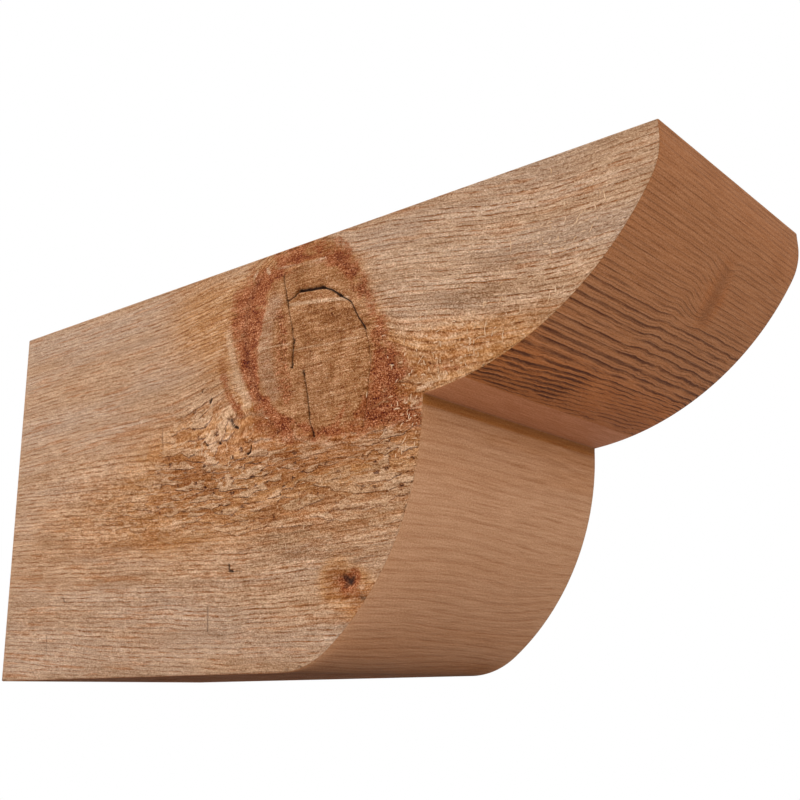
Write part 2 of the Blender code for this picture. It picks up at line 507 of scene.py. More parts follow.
@dataclass(frozen=True)
class Outline:
    """The timber's side outline. Lengths are in millimetres and angles in degrees.

    Attributes:
        length: Length along X.
        width: Width along Y.
        height: Height along Z.
        arris: Radius of the eased outer edges.
        nose_face: Plumb face at the tip, under the top.
        nose_radius: Corner between that face and the nose curve.
        notch_setback: Distance of the notch from the tip.
        soffit_slope: Slope of the nose curve where it meets the notch.
        notch_height: Height of the notch.
        heel_run: Length of the heel curve along X.
        heel_radius: Corner between the heel curve and the underside.
        heel_lean: Lean of the heel curve where it leaves the notch.
    """

    length: float
    width: float
    height: float
    arris: float = 0.8
    nose_face: float = 6.7
    nose_radius: float = 30.5
    notch_setback: float = 113.1
    soffit_slope: float = 4.3
    notch_height: float = 109.8
    heel_run: float = 81.2
    heel_radius: float = 46.5
    heel_lean: float = 1.8

    @classmethod
    def of_node(cls, name: str) -> "Outline":
        """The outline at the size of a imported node.

        Args:
            name: The node's name.

        Returns:
            An outline with the node's length, width and height.
        """
        low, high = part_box(name)
        length, width, height = ((high[k] - low[k]) / MM for k in range(3))
        return cls(length, width, height)

    @property
    def notch(self) -> Array:
        """The notch's inner corner."""
        return np.array((self.length - self.notch_setback, self.notch_height))

    @staticmethod
    def _arc(centre: Array, radius: float, start: float, end: float) -> Array:
        """Points of an arc, close enough together to be resampled later."""
        angles = np.linspace(start, end, max(6, int(abs(end - start) * 180.0)))
        return centre + radius * np.stack([np.cos(angles), np.sin(angles)], axis=1)

    def _two_centred(self, inward: Array, corner: Array, radius: float, end: float) -> Array:
        """A large arc from the notch that runs into a small corner arc.

        Args:
            inward: Unit direction from the notch to the large arc's centre.
            corner: Centre of the small arc.
            radius: Radius of the small arc.
            end: Direction in which the small arc ends, in radians.

        Returns:
            Points from the notch to the end of the small arc.
        """
        reach = corner - self.notch
        large = (reach @ reach - radius**2) / (2.0 * (reach @ inward - radius))
        centre = self.notch + large * inward
        start = math.atan2(*(self.notch - centre)[::-1])
        join = math.atan2(*(corner - centre)[::-1])
        sweep = self._arc(centre, large, start, join)
        return np.vstack([sweep, self._arc(corner, radius, join, end)[1:]])

    def nose(self) -> Array:
        """The nose curve.

        Returns:
            Its points, from the notch to the tip's plumb face.
        """
        slope = math.radians(self.soffit_slope)
        inward = np.array((-math.sin(slope), math.cos(slope)))
        corner = np.array((self.length - self.nose_radius, self.height - self.nose_face))
        return self._two_centred(inward, corner, self.nose_radius, 0.0)

    def heel(self) -> Array:
        """The heel curve.

        Returns:
            Its points, from the notch down to the underside.
        """
        lean = math.radians(self.heel_lean)
        inward = np.array((-math.cos(lean), math.sin(lean)))
        corner = np.array((self.notch[0] - self.heel_run, self.heel_radius))
        return self._two_centred(inward, corner, self.heel_radius, -math.pi / 2.0)

    def runs(self) -> list[tuple[Face, Array]]:
        """The whole outline, anticlockwise from the back end's top.

        Returns:
            One run of points for each stretch, with the face that it belongs to.
        """
        r, length, height = self.arris, self.length, self.height
        foot = self._arc(np.array((r, r)), r, math.pi, 1.5 * math.pi)
        brow = self._arc(np.array((length - r, height - r)), r, 0.0, 0.5 * math.pi)
        crown = self._arc(np.array((r, height - r)), r, 0.5 * math.pi, math.pi)
        heel = self.heel()[::-1]
        nose = np.vstack([self.nose(), (length, height - r)])
        return [
            (Face.BACK, np.array([(0.0, height - r), (0.0, r)])),
            (Face.BACK, foot),
            (Face.UNDERSIDE, np.vstack([(r, 0.0), heel[0]])),
            (Face.HEEL, heel),
            (Face.NOSE, nose),
            (Face.TOP, brow),
            (Face.TOP, np.array([(length - r, height), (r, height)])),
            (Face.TOP, crown),
        ]

    def front(self, z: Array) -> Array:
        """How far the timber reaches towards the tip at each height."""
        curve = np.vstack([self.heel()[::-1], self.nose(), (self.length, self.height)])
        return np.interp(z, curve[:, 1], curve[:, 0])


@dataclass(frozen=True)
class Spacing:
    """How far apart the mesh's points are, in millimetres.

    Attributes:
        runs: Spacing along the outline on each face.
        across: Spacing across the width.
        fine: Height of the side meshes' rows where the grain is torn.
        coarse: Height of the rows elsewhere on the near side.
        small: Height of the rows on a pit.
        plain: Height of the rows on the far side.
        stretch: Length of a side's cells along the grain, in row heights.
    """

    runs: dict[Face, float] = field(
        default_factory=lambda: {
            Face.BACK: 2.4, Face.UNDERSIDE: 4.0, Face.HEEL: 1.1, Face.NOSE: 0.75, Face.TOP: 3.2,
        }
    )
    across: float = 4.0
    fine: float = 0.66
    coarse: float = 1.2
    small: float = 0.33
    plain: float = 2.0
    stretch: float = 1.8


class WoodField:
    """How the timber's grain runs, and how deep its surface is torn.

    Attributes:
        SLOPE: Rise of the grain towards the knot in the lower left, per millimetre.
        HEEL_RING: Distance between two growth lines on the heel, in millimetres.
        HEEL_SWAY: How much those lines waver.
    """

    SLOPE = 0.055
    HEEL_RING = 4.7
    HEEL_SWAY = 0.05

    def __init__(self, outline: Outline, knot: Knot) -> None:
        """Keeps the shape that the grain fills.

        Args:
            outline: The timber's outline.
            knot: The knot that the grain flows round.
        """
        self.outline = outline
        self.knot = knot
        self._flow = Grain3D(11)
        self._flakes = Grain3D(23)
        self._fibres = Grain3D(37)
        self._edges = Grain3D(53)

    def near(self, y: Array) -> Array:
        """1 on the near side, falling to 0 a little way into the timber."""
        depth = y + self.outline.width / 2.0
        return smoothstep(9.0, 0.5, depth)

    def grain(self, x: Array, y: Array, z: Array) -> Array:
        """Distances along, across and through the grain.

        Args:
            x: Distances from the back end, in millimetres.
            y: Distances from the middle of the width.
            z: Heights.

        Returns:
            (along, across, through) for each point, in millimetres.
        """
        wave = 1.6 * self._flow(x / 120.0, y / 160.0, z / 45.0)
        ripple = 0.55 * self._flow(x / 24.0 + 40.0, y / 60.0, z / 18.0)
        crook = 0.2 * self._flow(x / 6.0 + 90.0, y / 30.0, z / 6.0)
        bow = (y + self.outline.width / 2.0) ** 2 / 3000.0
        lift = self._lift(x, z) - EYE.cover(x, z)
        across = z - self.near(y) * lift + wave + ripple + crook + bow
        along = x + 2.0 * self._flow(x / 60.0, y / 60.0, z / 9.0 + 80.0)
        through = y + 1.5 * self._flow(x / 140.0, y / 50.0 + 9.0, z / 60.0)
        return np.stack([along, across, through], axis=-1)

    def _lift(self, x: Array, z: Array) -> Array:
        """How far the knot pushes the grain of the near side upwards.

        Args:
            x: Distances from the back end, in millimetres.
            z: Heights.

        Returns:
            A distance for each point, in millimetres.
        """
        climb = 4.0 * smoothstep(128.0, 185.0, x) + 18.0 * smoothstep(188.0, 228.0, x)
        fall = 6.0 * smoothstep(232.0, 262.0, x) + 16.0 * smoothstep(254.0, 370.0, x)
        above = smoothstep(118.0, 150.0, z) * (climb - fall)
        reach = np.where(z > 131.0, 11.0, 19.0)
        beside = 7.5 * np.exp(-(((z - 131.0) / reach) ** 2))
        beside = beside * smoothstep(133.0, 182.0, x) * smoothstep(300.0, 250.0, x)
        below = 2.5 * np.exp(-(((x - 235.0) / 38.0) ** 2))
        below = below * smoothstep(60.0, 80.0, z) * smoothstep(114.0, 100.0, z)
        slope = -self.SLOPE * np.minimum(x, 180.0) * smoothstep(128.0, 96.0, z)
        return above + beside + below + slope

    def curve(self, run: Array, y: Array, above: Array) -> tuple[Array, Array]:
        """Growth lines across the two curves.

        Args:
            run: Distance along the outline from the notch, in millimetres.
            y: Distances from the middle of the width.
            above: True on the nose curve, False on the heel curve.

        Returns:
            (distance from the notch, place across the width, count of growth lines) for each point,
            and (strength of the lines, how much they waver, tone with painted shade) for each point.
        """
        place = y + self.outline.width / 2.0
        nose, heel = self._nose_lines(run, place), self._heel_lines(run, place)
        count, *line = (np.where(above, on_nose, on_heel) for on_nose, on_heel in zip(nose, heel))
        return np.stack([run, place, count], axis=-1), np.stack(line, axis=-1)

    def _nose_lines(self, run: Array, place: Array) -> tuple[Array, ...]:
        """Growth lines of the nose curve, which bend round a knot hidden under it.

        Args:
            run: Distance along the outline from the notch, in millimetres.
            place: Distance from the near side.

        Returns:
            The count of growth lines, their strength, how much they waver, and the wood's tone with painted
            shade in the notch's crease and on the soffit under the nose.
        """
        past = smoothstep(56.0, 72.0, place)
        tilt = -14.0 * (place / self.outline.width - 0.5) * smoothstep(58.0, 34.0, run)
        # A darker, blurred band across the nose, where the growth lines fade and bend.
        band_span = smoothstep(84.0, 98.0, run) * smoothstep(128.0, 108.0, run)
        dip = 5.2 * smoothstep(64.0, 87.0, place) * smoothstep(95.0, 88.0, place) * band_span
        middle = smoothstep(118.0, 92.0, run) * smoothstep(60.0, 70.0, run)
        count = NOSE_COUNT.at(run + tilt + dip - 2.0 * past * middle)
        blur = np.exp(-(((place - 89.0 - 0.3 * (104.0 - run)) / 6.0) ** 2)) * band_span
        faint = 0.3 * past * smoothstep(60.0, 30.0, run)
        strength = NOSE_STRENGTH.at(run) * (1.0 - 0.6 * blur) * (1.0 - faint)
        sway = NOSE_SWAY.at(run) + past * NOSE_FAR_SWAY.at(run)
        return count, strength, sway, NOSE_TONE_AND_SHADE.at(run) - 0.36 * blur

    def _heel_lines(self, run: Array, place: Array) -> tuple[Array, ...]:
        """Growth lines of the heel curve, which are faint and nearly level.

        Args:
            run: Distance along the outline from the notch, in millimetres.
            place: Distance from the near side.

        Returns:
            The same four values as for the nose.
        """
        drift = 5.0 * self._flow(run / 34.0, place / 80.0, np.full(run.shape, 3.0))
        count = (run + drift) / self.HEEL_RING
        # The tone carries painted shade in the notch's crease and at the curve's foot.
        return count, HEEL_STRENGTH.at(run), np.full(run.shape, self.HEEL_SWAY), HEEL_TONE_AND_SHADE.at(run)

    def torn(self, x: Array, z: Array) -> Array:
        """How strongly the near side's grain is torn.

        Args:
            x: Distances from the back end, in millimetres.
            z: Heights.

        Returns:
            A strength for each point, from 0 to 1.
        """
        total = sum(patch.cover(x, z) for patch in TORN_PATCHES)
        away, core, _ = self.knot.polar(x, z)
        return np.clip(total, 0.0, 1.0) * smoothstep(core * 0.98, core * 1.12, away)

    def flakes(self, grain: Array) -> Array:
        """Torn flakes that overlap along the grain: 0 in the valleys, 1 on the flakes.

        Args:
            grain: Grain coordinates, in millimetres.

        Returns:
            One height for each point.
        """
        along, across = grain[..., 0], grain[..., 1]
        flat = np.full(along.shape, 0.5)
        slant = across - 0.02 * along
        clump = smoothstep(-0.3, 0.35, self._flakes.layered(along / 15.0, slant / 3.4, flat, 2))
        bend = self._flakes.layered(along / 12.0, slant / 2.2, flat + 5.0, 2)
        level = 1.7 * bend + along / 24.0
        ramp = level - np.floor(level)
        scale = smoothstep(0.0, 0.65, ramp) * smoothstep(1.0, 0.88, ramp)
        return 0.35 * clump + 0.65 * scale

    def fibres(self, grain: Array) -> Array:
        """Fine ridges along the grain, from about -1 to 1."""
        return self._fibres.layered(grain[..., 0] / 22.0, grain[..., 1] / 1.7, grain[..., 2] / 1.7, 2)

    def ragged(self, x: Array, y: Array, z: Array) -> Array:
        """Short irregular waves, for edges and stains."""
        return self._edges.layered(x / 7.0, y / 7.0, z / 4.0, 3, 0.6)


class TimberMesh:
    """The timber's surface as one closed mesh, with its relief and the attributes its finishes read.

    Attributes:
        BASE: Distance of the plain surface under the solid's face, in millimetres.
        TEAR: Depth of the torn valleys.
        RIDGES: Depth between two fibres.
        SUNK: Depth of the stained ring round the knot.
        PROUD: How far the knot's own wood stands out.
        RINGS: (distance from the side, inset of the outline) of the rings that ease a side's edge.
        CRACK_STEP: Distance between two points along a crack.
        CRACK_GAP: Distance that other points keep from a crack.
    """

    BASE = 0.25
    TEAR = 1.0
    RIDGES = 0.16
    SUNK = 0.35
    PROUD = 0.12
    RINGS = ((0.0, 0.72), (0.25, 0.25), (0.8, 0.0))
    CRACK_STEP = 0.9
    CRACK_GAP = 0.5

    def __init__(self, outline: Outline, wood: WoodField, spacing: Spacing) -> None:
        """Lays out the points.

        Args:
            outline: The timber's outline.
            wood: Its grain.
            spacing: How fine the mesh is.
        """
        self.outline = outline
        self.wood = wood
        self.spacing = spacing
        self.ring_points, self.ring_faces = self._resampled()
        self.ring_normals = self._normals()
        self.stations = self._stations()

    def _resampled(self) -> tuple[Array, list[Face]]:
        """The outline at the mesh's spacing.

        Returns:
            Its points, and the face that each point starts.
        """
        points: list[Array] = []
        faces: list[Face] = []
        for face, run in self.outline.runs():
            _, even = spaced(run, self.spacing.runs[face])
            points.extend(even[:-1])
            faces.extend([face] * (len(even) - 1))
        return np.array(points), faces

    def _normals(self) -> Array:
        """Directions that point out of the outline.

        Returns:
            A unit direction for each of its points.
        """
        ahead = np.roll(self.ring_points, -1, axis=0) - self.ring_points
        turned = np.stack([ahead[:, 1], -ahead[:, 0]], axis=1)
        turned /= np.linalg.norm(turned, axis=1)[:, None]
        mean = turned + np.roll(turned, 1, axis=0)
        return mean / np.linalg.norm(mean, axis=1)[:, None]

    def _stations(self) -> list[tuple[float, float]]:
        """Where the rings of points stand, from the near side to the far side.

        Returns:
            (place across the width, inset of the outline) of each ring.
        """
        half = self.outline.width / 2.0
        near = [(-half + place, inset) for place, inset in self.RINGS]
        far = [(half - place, inset) for place, inset in reversed(self.RINGS)]
        reach = half - self.RINGS[-1][0]
        count = math.ceil(2.0 * reach / self.spacing.across)
        middle = [(y, 0.0) for y in np.linspace(-reach, reach, count + 1)[1:-1]]
        return near + middle + far

    def _inside(self, places: Array, margin: float) -> Array:
        """Which places lie well inside the outline.

        Args:
            places: (x, z) places, in millimetres.
            margin: Least distance from the outline.

        Returns:
            True for each place inside.
        """
        squeeze = (self.spacing.stretch, 1.0)
        closest = np.full(len(places), np.inf)
        for point in self.ring_points:
            closest = np.minimum(closest, np.hypot(*((places - point) / squeeze).T))
        x, z = places.T
        edge = margin * 0.6
        within = (x > edge * 2.0) & (z > edge) & (z < self.outline.height - edge)
        return within & (x < self.outline.front(z) - edge) & (closest > margin)

    def _lattice(self, row: float) -> Array:
        """A hexagonal lattice over the side.

        Args:
            row: Height of its rows, in millimetres.

        Returns:
            Its (x, z) places.
        """
        step = row * self.spacing.stretch
        rows = np.arange(row, self.outline.height, row)
        columns = np.arange(step, self.outline.length, step)
        x, z = np.meshgrid(columns, rows)
        x = x + 0.5 * step * (np.arange(len(rows)) % 2)[:, None]
        return np.stack([x.ravel(), z.ravel()], axis=1)

    def _busy(self, places: Array) -> Array:
        """Which places of the near side need the fine mesh.

        Args:
            places: (x, z) places, in millimetres.

        Returns:
            True for each place on torn grain or round the knot.
        """
        x, z = places.T
        away, _, halo = self.wood.knot.polar(x, z)
        return (self.wood.torn(x, z) > 0.3) | (away < halo * 1.08)

    @staticmethod
    def _pitted(places: Array) -> Array:
        """Which places of the near side lie on a pit, or close to one."""
        x, z = places.T
        return sum(replace(pit, width=pit.width + 2.0, softness=0.2).cover(x, z) for pit in PITS) > 0.0

    def _side_places(self, near: bool) -> tuple[Array, list[tuple[int, int]]]:
        """Inner points of a side, and the edges between those that follow a crack.

        Args:
            near: True for the near side, which has the fine parts and the cracks.

        Returns:
            The places, and pairs of them that an edge has to join.
        """
        if not near:
            places = self._lattice(self.spacing.plain)
            return places[self._inside(places, 0.8)], []
        fine, coarse = self._lattice(self.spacing.fine), self._lattice(self.spacing.coarse)
        fine, coarse = fine[self._busy(fine)], coarse[~self._busy(coarse)]
        fine = fine[self._inside(fine, self.spacing.fine * 0.7)]
        coarse = coarse[self._inside(coarse, self.spacing.coarse * 0.6)]
        places = np.vstack([fine, coarse])
        small = self._lattice(self.spacing.small)
        places = np.vstack([places[~self._pitted(places)], small[self._pitted(small)]])
        lines: list[Array] = []
        for crack in CRACKS:
            lines.extend(self._crack_rows(crack))
        keep = np.ones(len(places), dtype=bool)
        for line in lines:
            low, high = line.min(axis=0) - 2.0, line.max(axis=0) + 2.0
            close = np.flatnonzero(((places > low) & (places < high)).all(axis=1))
            gaps = np.hypot(*(places[close, None] - line[None]).transpose(2, 0, 1)).min(axis=1)
            keep[close[gaps < self.CRACK_GAP]] = False
        places = places[keep]
        edges: list[tuple[int, int]] = []
        for line in lines:
            first = len(places)
            places = np.vstack([places, line])
            edges.extend((first + k, first + k + 1) for k in range(len(line) - 1))
        return places, edges

    def _crack_rows(self, crack: Stroke) -> list[Array]:
        """Places along a crack, for the mesh's edges to follow.

        Args:
            crack: The crack.

        Returns:
            Its middle and its two lips, each as a row of (x, z) places.
        """
        places, middle = spaced(np.array(crack.points), self.CRACK_STEP)
        wander = Grain3D(71)(places / 3.0, np.full(places.shape, crack.points[0][0]), 0.0 * places)
        along = np.gradient(middle, axis=0)
        along /= np.linalg.norm(along, axis=1)[:, None]
        square = np.stack([-along[:, 1], along[:, 0]], axis=1)
        middle = middle + square * (0.25 * wander)[:, None]
        taper = smoothstep(0.0, 0.15, places / places[-1]) * smoothstep(1.0, 0.8, places / places[-1])
        half = (crack.width * (0.25 + 0.45 * taper))[:, None]
        return [middle, (middle + square * half)[1:-1], (middle - square * half)[1:-1]]

    def _cap(self, near: bool, ring_start: int, first: int) -> tuple[Array, Array]:
        """The flat side between the first or last ring's points.

        Args:
            near: True for the near side.
            ring_start: Index of that ring's first point.
            first: Index that the side's first inner point will have.

        Returns:
            The inner places, and triangles of point indices that face outwards.
        """
        inset = self.RINGS[0][1]
        rim = self.ring_points - self.ring_normals * inset
        inner, edges = self._side_places(near)
        places = np.vstack([rim, inner])
        squeezed = [Vector((x / self.spacing.stretch, z)) for x, z in places]
        shifted = [(a + len(rim), b + len(rim)) for a, b in edges]
        result = delaunay_2d_cdt(squeezed, shifted, [list(range(len(rim)))], 1, 1e-6)
        corners, _, triangles, origins = result[:4]
        index = np.array([origin[0] if origin else -1 for origin in origins])
        flat = index[np.array(triangles)]
        flat = flat[(flat >= 0).all(axis=1)]
        LOG.info("%s side: %d places, %d triangles", "near" if near else "far", len(corners), len(flat))
        used = np.zeros(len(places), dtype=bool)
        used[flat] = True
        used[: len(rim)] = True
        order = np.cumsum(used) - 1
        flat = order[flat]
        moved = np.where(flat < len(rim), flat + ring_start, flat - len(rim) + first)
        return inner[used[len(rim) :]], moved if near else moved[:, ::-1]

    def build(self, finishes: Sequence[bpy.types.Material]) -> bpy.types.Object:
        """Makes the mesh object.

        Args:
            finishes: One material for each face, in the order of Face.

        Returns:
            The object, at the origin.
        """
        count = len(self.ring_points)
        rings = len(self.stations)
        half = self.outline.width / 2.0
        near_inner, near_faces = self._cap(True, 0, rings * count)
        far_start = rings * count + len(near_inner)
        far_inner, far_faces = self._cap(False, (rings - 1) * count, far_start)

        places, outward, onto_side = [], [], []
        for y, inset in self.stations:
            flat = inset / self.RINGS[0][1]
            places.append(at_width(self.ring_points - self.ring_normals * inset, y))
            outward.append(at_width(self.ring_normals, np.sign(y) * flat))
            onto_side.append(np.full(count, flat))
        for inner, y in ((near_inner, -half), (far_inner, half)):
            places.append(at_width(inner, y))
            outward.append(np.tile((0.0, np.sign(y), 0.0), (len(inner), 1)))
            onto_side.append(np.ones(len(inner)))
        points = np.vstack(places)
        normals = np.vstack(outward)
        side_share = np.concatenate(onto_side)

        quads, slots = self._strips(count, rings)
        paints = self._paints(points, side_share)
        paints.update(self._curve_paints(points, rings))
        depth = self._depth(points, side_share, paints)
        moved = points - normals * depth[:, None]
        return self._object(moved, quads, near_faces, far_faces, slots, paints, finishes)

    def _strips(self, count: int, rings: int) -> tuple[Array, Array]:
        """Four-sided faces between the rings.

        Args:
            count: Number of points on a ring.
            rings: Number of rings.

        Returns:
            The faces as point indices, and the material slot of each.
        """
        around = np.arange(count)
        after = (around + 1) % count
        along = np.array([face.value for face in self.ring_faces])
        quads, slots = [], []
        for ring in range(rings - 1):
            here, there = ring * count, (ring + 1) * count
            quads.append(np.stack([here + around, there + around, there + after, here + after], axis=1))
            slot = along.copy()
            if ring == 0:
                slot[:] = Face.NEAR.value
            elif ring == rings - 2:
                slot[:] = Face.FAR.value
            slots.append(slot)
        return np.vstack(quads), np.concatenate(slots)

    def _paints(self, points: Array, side_share: Array) -> dict[str, Array]:
        """The attributes of the wood's own grain, tears and stains.

        Args:
            points: Points in millimetres.
            side_share: 1 on the two sides, 0 on the faces between them.

        Returns:
            A value for each point, by the attribute's name.
        """
        x, y, z = points.T
        wood, knot = self.wood, self.wood.knot
        grain = wood.grain(x, y, z)
        near = wood.near(y)
        away, core, halo = knot.polar(x, z)
        ragged = wood.ragged(x, y, z)
        blur = 2.0 * ragged

        band = smoothstep(core * 0.9, core * 1.06, away + blur)
        band = band * smoothstep(halo * 1.2, halo * 0.9, away + blur)
        angle = np.arctan2(z - knot.z, x - knot.x)
        stain = knot.around(knot.stain, angle)
        blotch = 0.95 + 1.1 * wood.ragged(x / 1.4, y, z / 1.8 + 30.0)
        shade = {paint: np.zeros(len(points)) for paint in Paint}
        shade[Paint.HALO] = near * band * stain * blotch
        for patch in RED_PATCHES:
            shade[Paint.HALO] += near * patch.cover(x, z) * (0.8 + 0.9 * ragged)
        for patch in AMBER_PATCHES:
            shade[Paint.AMBER] += near * patch.cover(x, z)
        fringe = 1.1 * np.exp(-np.maximum(away - halo, 0.0) / 6.0)
        shade[Paint.AMBER] += near * fringe * np.minimum(stain, 1.0)
        for patch in PALE_PATCHES:
            shade[Paint.PALE] += near * patch.cover(x, z)
        for stroke in STAINS:
            shade[stroke.paint] += near * stroke.strength * stroke.cover(x + 0.5 * blur, z + 0.4 * blur)
        for crack in CRACKS + PITS:
            shade[crack.paint] = np.maximum(shade[crack.paint], near * crack.strength * crack.cover(x, z))

        on_near = side_share * near
        torn = wood.torn(x, z) * on_near
        far_torn = 0.35 * side_share * (y > 0) * smoothstep(-0.2, 0.7, wood.ragged(x / 9.0, y, z / 5.0))
        coarse = sum(patch.cover(x, z) for patch in ROUGH_PATCHES) * on_near
        return {
            **{paint.value: np.clip(value, 0.0, 2.0) for paint, value in shade.items()},
            "grain": grain,
            "knot": near * smoothstep(core * 1.04, core * 0.94, away + 0.5 * blur),
            "torn": torn + far_torn,
            "rough": 0.9 + coarse + 0.3 * torn,
            "flake": wood.flakes(grain),
            "fibre": wood.fibres(grain),
        }

    def _curve_paints(self, points: Array, rings: int) -> dict[str, Array]:
        """The attributes of the two curves' finishes. They are 0 inside the sides.

        Args:
            points: Points in millimetres.
            rings: Number of rings.

        Returns:
            Three values for each point, by the attribute's name.
        """
        steps = np.hypot(*(np.roll(self.ring_points, -1, axis=0) - self.ring_points).T)
        travelled = np.concatenate([[0.0], np.cumsum(steps)])[:-1]
        notch = self.ring_faces.index(Face.NOSE)
        run = np.tile(np.abs(travelled - travelled[notch]), rings)
        above = np.tile(np.arange(len(steps)) >= notch, rings)
        place, line = self.wood.curve(run, points[: len(run), 1], above)
        rest = np.zeros((len(points) - len(run), 3))
        return {"curve": np.vstack([place, rest]), "line": np.vstack([line, rest])}

    def _depth(self, points: Array, side_share: Array, paints: dict[str, Array]) -> Array:
        """How far each point lies under the solid's face.

        Args:
            points: Points in millimetres.
            side_share: 1 on the two sides, 0 on the faces between them.
            paints: Attributes by name.

        Returns:
            A depth for each point, in millimetres.
        """
        x, y, z = points.T
        near = self.wood.near(y)
        torn, flake, knot = paints["torn"], paints["flake"], paints["knot"]
        depth = self.BASE + self.TEAR * torn * (1.0 - flake)
        depth += self.RIDGES * side_share * (1.0 - 0.6 * knot) * (0.5 - 0.5 * paints["fibre"])
        depth += self.SUNK * paints[Paint.HALO.value] * side_share
        depth -= self.PROUD * knot * side_share
        for stroke in CRACKS + PITS + STAINS:
            if stroke.depth:
                depth += near * side_share * stroke.depth * stroke.cover(x, z)
        return np.maximum(depth, 0.05)

    def _object(
        self, points: Array, quads: Array, near: Array, far: Array, slots: Array,
        paints: dict[str, Array], finishes: Sequence[bpy.types.Material],
    ) -> bpy.types.Object:
        """Puts points, faces and attributes into one object.

        Args:
            points: Points in millimetres.
            quads: Faces of the strips.
            near: Triangles of the near side.
            far: Triangles of the far side.
            slots: Material slot of each strip face.
            paints: Attributes by name.
            finishes: Materials by slot.

        Returns:
            The object.
        """
        shift = np.array((self.outline.length / 2.0, 0.0, 0.0))
        places = (points - shift) * MM
        faces = quads.tolist() + near.tolist() + far.tolist()
        mesh = bpy.data.meshes.new("sawn_timber")
        mesh.from_pydata(places.tolist(), [], faces)
        for finish in finishes:
            mesh.materials.append(finish)
        every_slot = np.concatenate(
            [slots, np.full(len(near), Face.NEAR.value), np.full(len(far), Face.FAR.value)]
        )
        mesh.polygons.foreach_set("material_index", every_slot.astype(np.int32))
        mesh.polygons.foreach_set("use_smooth", np.ones(len(faces), dtype=bool))
        for name, values in paints.items():
            vector = values.ndim == 2
            layer = mesh.attributes.new(name, "FLOAT_VECTOR" if vector else "FLOAT", "POINT")
            layer.data.foreach_set("vector" if vector else "value", values.astype(np.float32).ravel())
        mesh.update()
        LOG.info("timber: %d points, %d triangles", len(places), 2 * len(quads) + len(near) + len(far))
        timber = bpy.data.objects.new("sawn_timber", mesh)
        bpy.context.scene.collection.objects.link(timber)
        return timber


